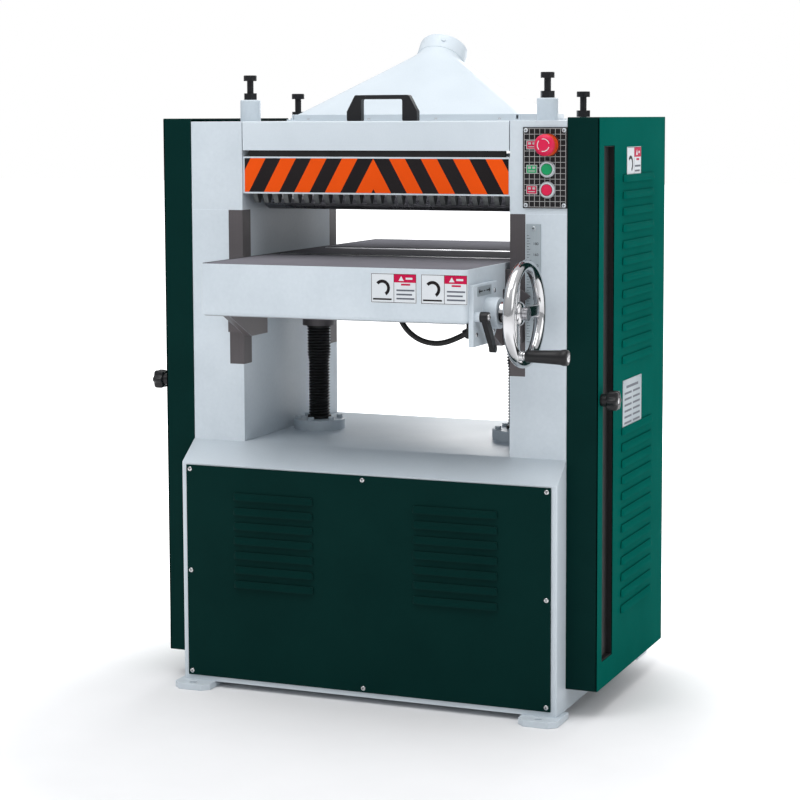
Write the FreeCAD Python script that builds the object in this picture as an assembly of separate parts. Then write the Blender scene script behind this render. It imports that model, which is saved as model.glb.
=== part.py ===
import FreeCAD
import Part
import math
import os

# Thickness planer, 500 mm class.  Millimetres.  +X is the operator's right hand, +Y goes to
# the rear, +Z is up.  The origin is on the floor, at the centre of the four anchor holes.

V = FreeCAD.Vector

# ---- driving dimensions: stand and head ----------------------------------------------------
FOOT_T = 12.0            # anchor plate thickness
ANCHOR_X = 354.0         # anchor holes from the centre plane, sideways
ANCHOR_Y = 294.0         # anchor holes from the centre plane, front to rear
ANCHOR_R = 7.0
BASE_X = 383.0           # base cabinet half width
BASE_Y = 276.0           # base cabinet half depth
BASE_EDGE = 440.0        # height where the sloping shoulder starts
BASE_TOP = 480.0
SHEET = 3.0
COL_IN = 273.0           # inner faces of the columns, half the working width
COL_OUT = 384.0          # outer faces of the columns
HALF_D = 222.0           # half depth of columns and head
WALL = 12.0              # casting wall
HEAD_Z = 930.0           # underside of the head, tangent to the cutting circle
HEAD_TOP = 1100.0
WAY_Z = 631.0            # lower end of the machined guide ways
WAY_T = 4.0
WAY_FRONT = 30.0
WAY_SIDE = 35.0

# ---- cutter, rollers and drives --------------------------------------------------------------
RUN = 0.05               # radial running clearance of every shaft
CUTTER_R = 50.0
CUTTER_Z = HEAD_Z + CUTTER_R
CUTTER_SHAFT_R = 20.0
ROLL_R = 38.0
ROLL_Y = 111.0
ROLL_Z = HEAD_Z - 1.0 + ROLL_R
ROLL_SHAFT_R = 12.5
ROLL_HALF = 266.0
MOTOR_Y = 60.0
MOTOR_Z = 135.0
MOTOR_PULLEY_R = 55.0
CUTTER_PULLEY_R = 45.0
PULLEY_X = (392.0, 428.0)
BELT_T = 8.0
FEED_Z = 640.0           # feed gearbox output shaft
FEED_OUT_R = 30.0
FEED_ROLL_R = 48.0
SPROCKET_X = (-412.0, -402.0)
CHAIN_T = 6.0
LOOP_GAP = 0.5           # belts and chain stand this far off their pulleys

# ---- table and lift --------------------------------------------------------------------------
TABLE_X = 263.0
TABLE_Y = 422.0
TABLE_Z = 840.0
APRON_H = 97.0
TABLE_WALL = 14.0
TABLE_T = 28.0
RIB_YS = (-300.0, -180.0, -62.0, 62.0, 180.0, 300.0)
BED_R = 25.0
BED_Y = 108.0
BED_RISE = 0.3           # the bed rollers stand this far above the table
SLOT_TOP_Z = 780.0       # ribs and roller slots reach down to this height
SLOT_X = 247.0
SLOT_HALF = 27.0
LUG_BACK = 165.0         # saddle lugs: rear edge, foot and start of the slope to the apron
LUG_FOOT = 236.0
LUG_SLOPE = 364.0
LUG_LOW = 688.0
LUG_HIGH = 752.0
SCREW_X = 214.0
SCREW_R = 14.0
SCREW_BOTTOM = 350.0
SCREW_TOP = 804.0
FLANGE_R = 52.0
FLANGE_T = 20.0
FLANGE_BOLT_RING = 41.0
NUT_R = 17.5             # bore of the nut flange, clear of the plain rod by the thread's depth
BASE_HOLE_R = 34.0       # hole in the base top under each nut flange
FOLDS = 14
BELLOWS_BORE = 16.0
BELLOWS_VALLEY = 19.0
BELLOWS_RIDGE = 24.0
CAN_R = 33.0
CAN_WALL = 4.0
CAN_BOTTOM = 690.0
SHAFT_Z = 758.0          # height of every shaft under the table
WHEEL_X = 341.0
WHEEL_Y = -336.0
WHEEL_R = 86.0           # rim centre line
RIM_R = 11.0
WHEEL_SHAFT_R = 12.0
DRIVE_X = 100.0
DRIVE_R = 9.0
CROSS_R = 6.0
BEVEL = 22.0             # cone distance of the small bevel pairs
SCREW_BEVEL = 20.0       # cone distance of the bevels on the lead screws
BEVEL_GAP = 1.0
GRIP_REACH = 85.0        # from the wheel's axis to the crank grip
GRIP_LEAN = 35.0         # the grip's place round the rim, in degrees from straight down
GRIP_X = (360.5, 438.5)
LEVER_Y = -399.0
LEVER_Z = 756.0

# ---- covers, hood and controls ---------------------------------------------------------------
DOOR_IN = 386.0
DOOR_OUT = 443.0
DOOR_Z = (52.0, 1106.0)
GROOVE_Y = (-192.0, -126.0)
GROOVE_Z = (101.0, 1054.0)
GROOVE_D = 12.0
LOUVER_PITCH = 31.0
DOOR_LOUVER_Y = (-72.0, 133.0)
DOOR_LOUVER_Z = (164.0, 640.0)
DOOR_LOUVERS = 12
PANEL_LOUVERS = 7
PANEL_PITCH = 28.5
PANEL_LOUVER_X = (104.0, 268.0)
PANEL_LOUVER_Z = 203.0
HINGE_X = 389.0
HINGE_Y = 229.0
HINGE_R = 6.0
HINGE_ZS = (540.0, 780.0, 1020.0)
KNOB_Y = -203.0
KNOB_Z = 592.0
LID_X = 271.0
LID_FRONT_Z = 1045.0
LID_AXIS = (231.0, 1097.0)   # Y and Z of the lid's hinge line
HOOD_X = 237.0
HOOD_Y = (-70.0, 205.0)
HOOD_Z = 1112.0
COLLAR_R = 50.0
COLLAR_TILT = 40.0
COLLAR_BASE = (0.0, 128.0, 1212.0)
COLLAR_L = 40.0
NECK_L = 6.0             # slightly narrower neck below the collar's hose seat
HANDLE_FOOT = 72.0       # half width of the lid handle at its feet
HANDLE_TOP = 55.0
HANDLE_H = 49.0
HANDLE_Y = (-178.0, -162.0)
POST_X = 308.0
POST_Y = 111.0
BOSS_R = 20.0            # tall bosses of the front pressure screws
BOSS_H = 42.0
LOW_BOSS_R = 16.0
LOW_BOSS_H = 6.0
PRESS_R = 6.5
PRESS_TOP = (90.0, 56.0)  # tops of the front and rear pressure screws above the head
BUTTON_X = 346.0
START_Z = 1012.0
STOP_Z = 974.5
ESTOP_X = 348.0
ESTOP_Z = 1056.0
FINGER_Y = -185.0
FINGER_Z = 985.0
FINGER_LOW = 943.0
FINGER_W = 10.0
FINGER_PITCH = 21.5
FINGERS = 25

# ---- conduit: route points on the centre line, from the table's underside to the gearbox ------
CONDUIT_R = 5.0
CONDUIT_ROUTE = [
    (118.0, -388.0, 775.0),
    (121.6, -388.0, 749.3),
    (136.4, -387.6, 725.5),
    (161.3, -386.8, 708.7),
    (190.9, -386.0, 703.5),
    (220.2, -385.0, 709.7),
    (244.9, -384.0, 722.8),
]


# ---- helpers ---------------------------------------------------------------------------------
def box(x0, x1, y0, y1, z0, z1):
    """A box given by its two corners."""
    return Part.makeBox(x1 - x0, y1 - y0, z1 - z0, V(x0, y0, z0))


def side_box(side, x_near, x_far, y0, y1, z0, z1):
    """A box on the right (side 1) or left (side -1), given by distances from the centre plane."""
    xs = sorted((side * x_near, side * x_far))
    return box(xs[0], xs[1], y0, y1, z0, z1)


def x_cyl(x0, x1, y, z, r):
    """A cylinder along X."""
    return Part.makeCylinder(r, x1 - x0, V(x0, y, z), V(1, 0, 0))


def y_cyl(x, y0, y1, z, r):
    """A cylinder along Y."""
    return Part.makeCylinder(r, y1 - y0, V(x, y0, z), V(0, 1, 0))


def z_cyl(x, y, z0, z1, r):
    """A cylinder along Z."""
    return Part.makeCylinder(r, z1 - z0, V(x, y, z0), V(0, 0, 1))


def prism(points, direction):
    """A solid made by pushing a closed polygon along a vector."""
    corners = [V(*p) for p in points]
    return Part.Face(Part.makePolygon(corners + corners[:1])).extrude(V(*direction))


def hexagon(x, y, z0, z1, across):
    """A hexagon nut blank, given by its size across flats."""
    radius = across / math.sqrt(3.0)
    angles = [math.radians(60.0 * i) for i in range(6)]
    points = [(x + radius * math.cos(a), y + radius * math.sin(a), z0) for a in angles]
    return prism(points, (0, 0, z1 - z0))


def rounded(shape, radius, test):
    """The shape with the edges that pass the test rounded."""
    edges = [e for e in shape.Edges if test(e)]
    return shape.makeFillet(radius, edges)


def is_along(edge, axis):
    """True for a straight edge that runs along the given axis."""
    a = edge.Vertexes[0].Point
    b = edge.Vertexes[-1].Point
    if edge.Length < 1e-6 or abs((b - a).Length - edge.Length) > 1e-6:
        return False
    return abs(abs((b - a).normalize().dot(V(*axis))) - 1.0) < 1e-6


def loop(circles, thickness, x0, x1):
    """A belt or chain round circles listed clockwise as (y, z, r), between x0 and x1."""
    def band(extra):
        hull = None
        for i, (y, z, r) in enumerate(circles):
            y2, z2, r2 = circles[(i + 1) % len(circles)]
            disc = x_cyl(x0, x1, y, z, r + extra)
            web = tangent_web((y, z, r + extra), (y2, z2, r2 + extra), x0, x1)
            piece = disc.fuse(web)
            hull = piece if hull is None else hull.fuse(piece)
        core = [(x0, y, z) for y, z, r in circles]
        if len(core) > 2:
            hull = hull.fuse(prism(core, (x1 - x0, 0, 0)))
        return hull.removeSplitter()
    return band(LOOP_GAP + thickness).cut(band(LOOP_GAP)).removeSplitter()


def tangent_web(first, second, x0, x1):
    """The flat plate between the two outer tangents of two circles."""
    (ya, za, ra), (yb, zb, rb) = first, second
    dist = math.hypot(yb - ya, zb - za)
    along = math.atan2(zb - za, yb - ya)
    lean = math.acos((ra - rb) / dist)
    points = []
    for (y, z, r), sign in ((first, 1), (second, 1), (second, -1), (first, -1)):
        angle = along + sign * lean
        points.append((x0, y + r * math.cos(angle), z + r * math.sin(angle)))
    return prism(points, (x1 - x0, 0, 0))


def bevel_x(x_apex, x_back, y, z, size):
    """A bevel gear blank on a shaft along X, its small end towards the apex."""
    sign = 1.0 if x_back > x_apex else -1.0
    small = 0.36 * size
    start = V(x_apex + sign * small, y, z)
    return Part.makeCone(small - BEVEL_GAP, size - BEVEL_GAP, size - small, start, V(sign, 0, 0))


def bevel_y(x, y_apex, y_back, z, size):
    """A bevel gear blank on a shaft along Y, its small end towards the apex."""
    sign = 1.0 if y_back > y_apex else -1.0
    small = 0.36 * size
    start = V(x, y_apex + sign * small, z)
    return Part.makeCone(small - BEVEL_GAP, size - BEVEL_GAP, size - small, start, V(0, sign, 0))


# ---- stand -----------------------------------------------------------------------------------
def foot_plates():
    """Four anchor plates with clipped outer corners, each with one anchor hole."""
    plates = []
    for sx in (-1, 1):
        for sy in (-1, 1):
            outline = [(316, 230), (392, 230), (392, 298), (378, 311), (330, 311), (316, 298)]
            points = [(sx * x, sy * y, 0) for x, y in outline]
            plate = prism(points, (0, 0, FOOT_T))
            hole = z_cyl(sx * ANCHOR_X, sy * ANCHOR_Y, -1, FOOT_T + 1, ANCHOR_R)
            plates.append(plate.cut(hole))
    return Part.makeCompound(plates)


def base_cabinet():
    """Folded base with a sloping shoulder, open behind the front and rear panels."""
    profile = [
        (-BASE_X, -BASE_Y, FOOT_T), (-BASE_X, -BASE_Y, BASE_EDGE), (-BASE_X, -HALF_D, BASE_TOP),
        (-BASE_X, HALF_D, BASE_TOP), (-BASE_X, BASE_Y, BASE_EDGE), (-BASE_X, BASE_Y, FOOT_T),
    ]
    skin = 4.0
    shell = prism(profile, (2 * BASE_X, 0, 0))
    shell = rounded(shell, 3.0, lambda e: is_along(e, (0, 0, 1)))
    inner = [
        (-BASE_X + skin, -BASE_Y + skin, FOOT_T + 6.0),
        (-BASE_X + skin, -BASE_Y + skin, BASE_EDGE - 2.0),
        (-BASE_X + skin, -HALF_D + 2.0, BASE_TOP - 6.0),
        (-BASE_X + skin, HALF_D - 2.0, BASE_TOP - 6.0),
        (-BASE_X + skin, BASE_Y - skin, BASE_EDGE - 2.0),
        (-BASE_X + skin, BASE_Y - skin, FOOT_T + 6.0),
    ]
    shell = shell.cut(prism(inner, (2 * (BASE_X - skin), 0, 0)))
    shell = shell.cut(box(-352, 352, -BASE_Y - 1, BASE_Y + 1, 46, 412))
    for side in (-1, 1):
        shell = shell.cut(z_cyl(side * SCREW_X, 0, BASE_TOP - 10, BASE_TOP + 1, BASE_HOLE_R))
    shell = shell.cut(x_cyl(BASE_X - 10, BASE_X + 1, MOTOR_Y, MOTOR_Z, 45))
    return shell


def base_panel(side):
    """Front (side -1) or rear (side 1) panel with two groups of pressed louvers."""
    face = BASE_Y if side > 0 else -BASE_Y
    ys = sorted((face, face + side * SHEET))
    panel = box(-372, 372, ys[0], ys[1], 22, 437)
    for group in (-1, 1):
        xs = sorted((group * PANEL_LOUVER_X[0], group * PANEL_LOUVER_X[1]))
        for row in range(PANEL_LOUVERS):
            z = PANEL_LOUVER_Z + row * PANEL_PITCH
            outer = face + side * SHEET
            hood = [(xs[0], outer, z), (xs[0], outer + side * 4.0, z), (xs[0], outer, z + 13)]
            panel = panel.fuse(prism(hood, (xs[1] - xs[0], 0, 0)))
            slot = sorted((face - side * 1.0, outer + side * 2.5))
            panel = panel.cut(box(xs[0] + 3, xs[1] - 3, slot[0], slot[1], z - 1, z + 4))
    return panel


def way_strips(side, end):
    """The L-shaped machined way at one inner corner of one column."""
    ys = sorted((end * HALF_D, end * (HALF_D - WAY_T)))
    front = side_box(side, COL_IN, COL_IN + WAY_FRONT, ys[0], ys[1], WAY_Z, HEAD_Z)
    ys = sorted((end * HALF_D, end * (HALF_D - WAY_SIDE)))
    flank = side_box(side, COL_IN, COL_IN + WAY_T, ys[0], ys[1], WAY_Z, HEAD_Z)
    return front.fuse(flank).removeSplitter()


def guide_ways():
    """Machined ways at the four inner corners."""
    return Part.makeCompound([way_strips(sx, sy) for sx in (-1, 1) for sy in (-1, 1)])


def column(side):
    """A cast column, open towards its side door, rebated for the ways."""
    body = side_box(side, COL_IN, COL_OUT, -HALF_D, HALF_D, BASE_TOP, HEAD_Z)
    body = rounded(body, 4.0, lambda e: is_along(e, (0, 0, 1)) and abs(e.Vertexes[0].X) > 300)
    cavity = side_box(
        side, COL_IN + WALL, COL_OUT + 1, -HALF_D + WALL, HALF_D - WALL,
        BASE_TOP + WALL, HEAD_Z - WALL)
    body = body.cut(cavity)
    for end in (-1, 1):
        body = body.cut(way_strips(side, end))
    return body


def head_box(side):
    """The casting on top of a column that carries the cutter and roller bearings."""
    body = side_box(side, COL_IN, COL_OUT, -HALF_D, HALF_D, HEAD_Z, HEAD_TOP)
    body = rounded(body, 4.0, lambda e: is_along(e, (0, 0, 1)) and abs(e.Vertexes[0].X) > 300)
    cavity = side_box(
        side, COL_IN + WALL, COL_OUT + 1, -HALF_D + WALL, HALF_D - WALL,
        HEAD_Z + WALL, HEAD_TOP - WALL)
    body = body.cut(cavity)
    xs = sorted((side * (COL_IN - 1), side * (COL_IN + WALL + 1)))
    for y, z, r in ((0, CUTTER_Z, 32.0), (-ROLL_Y, ROLL_Z, 22.0), (ROLL_Y, ROLL_Z, 22.0)):
        body = body.cut(x_cyl(xs[0], xs[1], y, z, r))
    if side > 0:
        for x, z in ((BUTTON_X, START_Z), (BUTTON_X, STOP_Z), (ESTOP_X, ESTOP_Z)):
            body = body.cut(y_cyl(x, -HALF_D - 1, -HALF_D + WALL + 1, z, 11.5))
    return body


def bearing_housings():
    """Flanged bearing rings for the cutter and the two feed rollers, on both sides."""
    rings = []
    seats = (
        (0, CUTTER_Z, 32.0, 44.0, CUTTER_SHAFT_R),
        (-ROLL_Y, ROLL_Z, 22.0, 32.0, ROLL_SHAFT_R),
        (ROLL_Y, ROLL_Z, 22.0, 32.0, ROLL_SHAFT_R),
    )
    for side in (-1, 1):
        for y, z, r, flange_r, shaft_r in seats:
            xs = sorted((side * COL_IN, side * (COL_IN + WALL)))
            ring = x_cyl(xs[0], xs[1], y, z, r)
            xs = sorted((side * (COL_IN + WALL), side * (COL_IN + WALL + 14)))
            low = box(xs[0], xs[1], y - flange_r, y + flange_r, HEAD_Z + WALL, z)
            ring = ring.fuse(x_cyl(xs[0], xs[1], y, z, flange_r).cut(
                box(xs[0] - 1, xs[1] + 1, y - 90, y + 90, z - 90, HEAD_Z + WALL)))
            ring = ring.fuse(low)
            ring = ring.cut(x_cyl(-COL_OUT, COL_OUT, y, z, shaft_r + RUN))
            rings.append(ring.removeSplitter())
    return Part.makeCompound(rings)


def head_crossbars():
    """Front and rear plates that tie the two head boxes together."""
    front = box(-COL_IN, COL_IN, -218, -206, 962, 1033)
    rear = box(-COL_IN, COL_IN, 206, 218, 962, 1033)
    return Part.makeCompound([front, rear])


def head_bars():
    """The two pressure bars beside the cutter, and the rod that the fingers hang on."""
    bars = [box(-COL_IN, COL_IN, -70, -58, 936, 1022), box(-COL_IN, COL_IN, 58, 70, 932, 1022)]
    rod = x_cyl(-COL_IN, COL_IN, FINGER_Y, FINGER_Z, 8)
    return Part.makeCompound(bars + [rod])


def spring_bosses():
    """Bosses for the roller pressure screws: tall ones in front, low rings behind."""
    bosses = []
    for sx in (-1, 1):
        tall = z_cyl(sx * POST_X, -POST_Y, HEAD_TOP, HEAD_TOP + BOSS_H, BOSS_R)
        tall = rounded(tall, 2.5, lambda e: abs(e.CenterOfMass.z - HEAD_TOP - BOSS_H) < 0.1)
        low = z_cyl(sx * POST_X, POST_Y, HEAD_TOP, HEAD_TOP + LOW_BOSS_H, LOW_BOSS_R)
        for boss, y in ((tall, -POST_Y), (low, POST_Y)):
            bore = z_cyl(sx * POST_X, y, HEAD_TOP + 1, HEAD_TOP + BOSS_H + 1, PRESS_R + RUN)
            bosses.append(boss.cut(bore))
    return Part.makeCompound(bosses)


def pressure_screw(sx, sy):
    """A roller pressure screw with its lock nut and tommy-bar head."""
    x = sx * POST_X
    y = sy * POST_Y
    seat = HEAD_TOP + (BOSS_H if sy < 0 else LOW_BOSS_H)
    top = HEAD_TOP + (PRESS_TOP[0] if sy < 0 else PRESS_TOP[1])
    screw = z_cyl(x, y, HEAD_TOP + 1.3, top, PRESS_R)
    screw = screw.fuse(hexagon(x, y, seat + 0.3, seat + 13, 24))
    head = z_cyl(x, y, top - 11, top, 13)
    head = rounded(head, 1.5, lambda e: abs(e.CenterOfMass.z - top) < 0.1)
    return screw.fuse(head).removeSplitter()


def control_plate():
    """Front plate for the switches, with a raised ring round each."""
    plate = box(299, 383, -225, -HALF_D, 941, 1088)
    for x, z, r, hole in (
            (BUTTON_X, START_Z, 14.5, 10.4), (BUTTON_X, STOP_Z, 14.5, 10.4),
            (ESTOP_X, ESTOP_Z, 21.0, 10.4)):
        ring = y_cyl(x, -230, -225, z, r)
        ring = rounded(ring, 1.5, lambda e: abs(e.CenterOfMass.y + 230) < 0.1)
        plate = plate.fuse(ring).cut(y_cyl(x, -231, -221, z, hole))
    return plate


def push_button(z):
    """A flush push button: cap and stem."""
    cap = y_cyl(BUTTON_X, -232, -216, z, 10)
    return rounded(cap, 1.5, lambda e: abs(e.CenterOfMass.y + 232) < 0.1)


def emergency_stop():
    """A mushroom stop button on its stem."""
    head = y_cyl(ESTOP_X, -256, -239, ESTOP_Z, 20)
    head = rounded(head, 5.0, lambda e: abs(e.CenterOfMass.y + 256) < 0.1)
    neck = Part.makeCone(13, 18, 3, V(ESTOP_X, -239, ESTOP_Z), V(0, -1, 0))
    stem = y_cyl(ESTOP_X, -240, -216, ESTOP_Z, 10)
    return head.fuse(neck).fuse(stem).removeSplitter()


def scale_plate():
    """The thickness scale on the right column, held by two screws."""
    plate = box(305, 333, -224, -HALF_D, 680, 912)
    for z in (688, 904):
        plate = plate.fuse(y_cyl(319, -226, -223.5, z, 4))
    return plate.removeSplitter()


def nut_flanges():
    """Round nut flanges of the lead screws, each with six bolt heads."""
    parts = []
    for side in (-1, 1):
        x = side * SCREW_X
        flange = z_cyl(x, 0, BASE_TOP, BASE_TOP + FLANGE_T, FLANGE_R)
        flange = rounded(flange, 3.0, lambda e: abs(e.CenterOfMass.z - BASE_TOP - FLANGE_T) < 0.1)
        for i in range(6):
            angle = math.radians(60 * i + 30)
            bx = x + FLANGE_BOLT_RING * math.cos(angle)
            by = FLANGE_BOLT_RING * math.sin(angle)
            flange = flange.fuse(z_cyl(bx, by, BASE_TOP + FLANGE_T - 1, BASE_TOP + FLANGE_T + 6, 6))
        bore = z_cyl(x, 0, BASE_TOP - 1, BASE_TOP + FLANGE_T + 1, NUT_R)
        parts.append(flange.cut(bore))
    return Part.makeCompound(parts)


def bellows():
    """Accordion covers round the lead screws, between nut flange and gear housing."""
    covers = []
    z0 = BASE_TOP + FLANGE_T + 0.3
    z1 = CAN_BOTTOM - 0.3
    pitch = (z1 - z0) / FOLDS
    for side in (-1, 1):
        x = side * SCREW_X
        points = [V(x + BELLOWS_BORE, 0, z0), V(x + BELLOWS_VALLEY, 0, z0)]
        for i in range(FOLDS):
            points.append(V(x + BELLOWS_RIDGE, 0, z0 + (i + 0.5) * pitch))
            points.append(V(x + BELLOWS_VALLEY, 0, z0 + (i + 1) * pitch))
        points += [V(x + BELLOWS_BORE, 0, z1), V(x + BELLOWS_BORE, 0, z0)]
        face = Part.Face(Part.makePolygon(points))
        covers.append(face.revolve(V(x, 0, 0), V(0, 0, 1), 360))
    return Part.makeCompound(covers)


# ---- drives ----------------------------------------------------------------------------------
def main_motor():
    """Cutter motor on its feet, lying along X inside the base."""
    body = x_cyl(60, 330, MOTOR_Y, MOTOR_Z, 80)
    feet = box(90, 300, MOTOR_Y - 70, MOTOR_Y + 70, FOOT_T + 6, MOTOR_Z - 50)
    terminal = box(150, 250, MOTOR_Y - 45, MOTOR_Y + 45, MOTOR_Z, MOTOR_Z + 98)
    bore = x_cyl(300, 331, MOTOR_Y, MOTOR_Z, 14 + RUN)
    return body.fuse([feet, terminal]).cut(bore)


def vee_pulley(y, z, radius):
    """A pulley with three belt grooves, its outside just under the belts."""
    pulley = x_cyl(PULLEY_X[0], PULLEY_X[1], y, z, radius)
    for x in (395.5, 406.0, 416.5):
        groove = x_cyl(x, x + 8, y, z, radius + 1).cut(x_cyl(x, x + 8, y, z, radius - 1.5))
        pulley = pulley.cut(groove)
    return pulley


def motor_rotor():
    """Motor shaft with its pulley."""
    return x_cyl(301, 434, MOTOR_Y, MOTOR_Z, 14).fuse(vee_pulley(MOTOR_Y, MOTOR_Z, MOTOR_PULLEY_R))


def drive_belts():
    """Three belts from the motor pulley up to the cutter pulley."""
    circles = [(MOTOR_Y, MOTOR_Z, MOTOR_PULLEY_R), (0, CUTTER_Z, CUTTER_PULLEY_R)]
    return Part.makeCompound([loop(circles, BELT_T, x, x + 7) for x in (396.0, 406.5, 417.0)])


def cutter_block():
    """Four-knife cutter cylinder with its journals."""
    block = x_cyl(-268, 268, 0, CUTTER_Z, CUTTER_R)
    for i in range(4):
        slot = box(-269, 269, -5, 5, CUTTER_R - 12, CUTTER_R + 1)
        slot.rotate(V(0, 0, 0), V(1, 0, 0), 90 * i + 45)
        slot.translate(V(0, 0, CUTTER_Z))
        block = block.cut(slot)
        knife = box(-268, 268, -2, 3, CUTTER_R - 13, CUTTER_R)
        knife.rotate(V(0, 0, 0), V(1, 0, 0), 90 * i + 45)
        knife.translate(V(0, 0, CUTTER_Z))
        block = block.fuse(knife.common(x_cyl(-268, 268, 0, CUTTER_Z, CUTTER_R)))
    return block.fuse(x_cyl(-302, 391, 0, CUTTER_Z, CUTTER_SHAFT_R))


def cutter_pulley():
    """Pulley on the right end of the cutter shaft."""
    shaft_end = x_cyl(391, 434, 0, CUTTER_Z, CUTTER_SHAFT_R)
    return shaft_end.fuse(vee_pulley(0, CUTTER_Z, CUTTER_PULLEY_R))


def sprocket(y, z, radius, teeth):
    """A chain wheel with shallow gullets."""
    wheel = x_cyl(SPROCKET_X[0], SPROCKET_X[1], y, z, radius)
    for i in range(teeth):
        angle = 2 * math.pi * i / teeth
        gy = y + radius * math.cos(angle)
        gz = z + radius * math.sin(angle)
        wheel = wheel.cut(x_cyl(SPROCKET_X[0] - 1, SPROCKET_X[1] + 1, gy, gz, 2.6))
    return wheel


def feed_roller(y, grooves):
    """A feed roller with its journals and the chain wheel on its left end."""
    roller = x_cyl(-ROLL_HALF, ROLL_HALF, y, ROLL_Z, ROLL_R)
    for i in range(grooves):
        cut = box(-ROLL_HALF - 1, ROLL_HALF + 1, -1.5, 1.5, ROLL_R - 2, ROLL_R + 1)
        cut.rotate(V(0, 0, 0), V(1, 0, 0), 360.0 * i / grooves)
        cut.translate(V(0, y, ROLL_Z))
        roller = roller.cut(cut)
    shaft = x_cyl(-418, 302, y, ROLL_Z, ROLL_SHAFT_R)
    return roller.fuse(shaft).fuse(sprocket(y, ROLL_Z, FEED_ROLL_R, 24)).removeSplitter()


def feed_gearbox():
    """Feed gearbox with its motor, standing inside the left column."""
    case = box(-378, -285, -70, 70, 540, 700)
    case = rounded(case, 8.0, lambda e: is_along(e, (1, 0, 0)))
    motor = z_cyl(-333, 0, 690, 880, 42)
    bore = x_cyl(-379, -300, 0, FEED_Z, 12 + RUN)
    return case.fuse(motor).cut(bore)


def feed_sprocket():
    """Gearbox output shaft with its chain wheel."""
    return x_cyl(-418, -301, 0, FEED_Z, 12).fuse(sprocket(0, FEED_Z, FEED_OUT_R, 15))


def feed_chain():
    """The chain round the gearbox wheel and both feed roller wheels."""
    circles = [
        (0, FEED_Z, FEED_OUT_R), (ROLL_Y, ROLL_Z, FEED_ROLL_R), (-ROLL_Y, ROLL_Z, FEED_ROLL_R)]
    return loop(circles, CHAIN_T, SPROCKET_X[0] + 1, SPROCKET_X[1] - 1)


def kickback_fingers():
    """Anti-kickback fingers that hang on their rod in front of the infeed roller."""
    fingers = []
    bore = x_cyl(-COL_IN, COL_IN, FINGER_Y, FINGER_Z, 8 + RUN)
    outline = [
        (FINGER_Y - 10, 1000), (FINGER_Y + 10, 1000), (FINGER_Y + 10, FINGER_LOW + 13),
        (FINGER_Y + 4, FINGER_LOW), (FINGER_Y - 4, FINGER_LOW), (FINGER_Y - 10, FINGER_LOW + 13)]
    for i in range(FINGERS):
        x = (i - (FINGERS - 1) / 2) * FINGER_PITCH
        plate = prism([(x - FINGER_W / 2, y, z) for y, z in outline], (FINGER_W, 0, 0))
        fingers.append(plate.cut(bore))
    return Part.makeCompound(fingers)


# ---- table -----------------------------------------------------------------------------------
def table_casting():
    """Table with aprons, ribs, bed roller slots and saddle lugs."""
    low = TABLE_Z - APRON_H
    body = box(-TABLE_X, TABLE_X, -TABLE_Y, TABLE_Y, low, TABLE_Z)
    body = rounded(body, 10.0, lambda e: is_along(e, (0, 0, 1)))
    body = rounded(body, 9.0, lambda e: abs(e.CenterOfMass.z - low) < 0.1)
    inside = TABLE_X - TABLE_WALL
    body = body.cut(box(
        -inside, inside, -TABLE_Y + TABLE_WALL, TABLE_Y - TABLE_WALL, low - 1, TABLE_Z - TABLE_T))
    for y in RIB_YS:
        body = body.fuse(box(-inside, inside, y - 5, y + 5, SLOT_TOP_Z, TABLE_Z - TABLE_T))
    for end in (-1, 1):
        y = end * BED_Y
        body = body.cut(box(-SLOT_X, SLOT_X, y - SLOT_HALF, y + SLOT_HALF, SLOT_TOP_Z, TABLE_Z + 1))
        body = body.cut(x_cyl(-259, 259, y, TABLE_Z + BED_RISE - BED_R, 10 + RUN))
        for side in (-1, 1):
            body = body.fuse(saddle_lug(side, end))
    body = body.cut(x_cyl(inside - 1, TABLE_X + 1, WHEEL_Y, SHAFT_Z, 16))
    return body.removeSplitter()


def saddle_lug(side, end):
    """A lug below the apron that carries the gib, with a web that slopes up to the apron."""
    outline = [(LUG_BACK, LUG_HIGH), (LUG_BACK, LUG_LOW), (LUG_FOOT, LUG_LOW), (LUG_SLOPE, LUG_HIGH)]
    corners = [(side * TABLE_X, end * y, z) for y, z in outline]
    return prism(corners, (-side * TABLE_WALL, 0, 0))


def gib_strips():
    """Gibs that slide on the ways, keepers behind the way faces, and the scale pointer."""
    parts = []
    for side in (-1, 1):
        for end in (-1, 1):
            ys = sorted((end * 190, end * 219))
            gib = side_box(side, TABLE_X, COL_IN - 0.3, ys[0], ys[1], 692, 828)
            ys = sorted((end * (HALF_D + 0.4), end * (HALF_D + 13)))
            keeper = side_box(side, TABLE_X, 300, ys[0], ys[1], 694, 742)
            parts += [gib, keeper]
    pointer = box(TABLE_X, 300, -232, -229, 768, 792)
    nose = prism([(300, -232, 768), (316, -232, 780), (300, -232, 792)], (0, 3, 0))
    parts.append(pointer.fuse(nose).removeSplitter())
    return Part.makeCompound(parts)


def bed_roller(end):
    """A bed roller with its journals."""
    y = end * BED_Y
    z = TABLE_Z + BED_RISE - BED_R
    return x_cyl(-245, 245, y, z, BED_R).fuse(x_cyl(-257, 257, y, z, 10))


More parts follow.
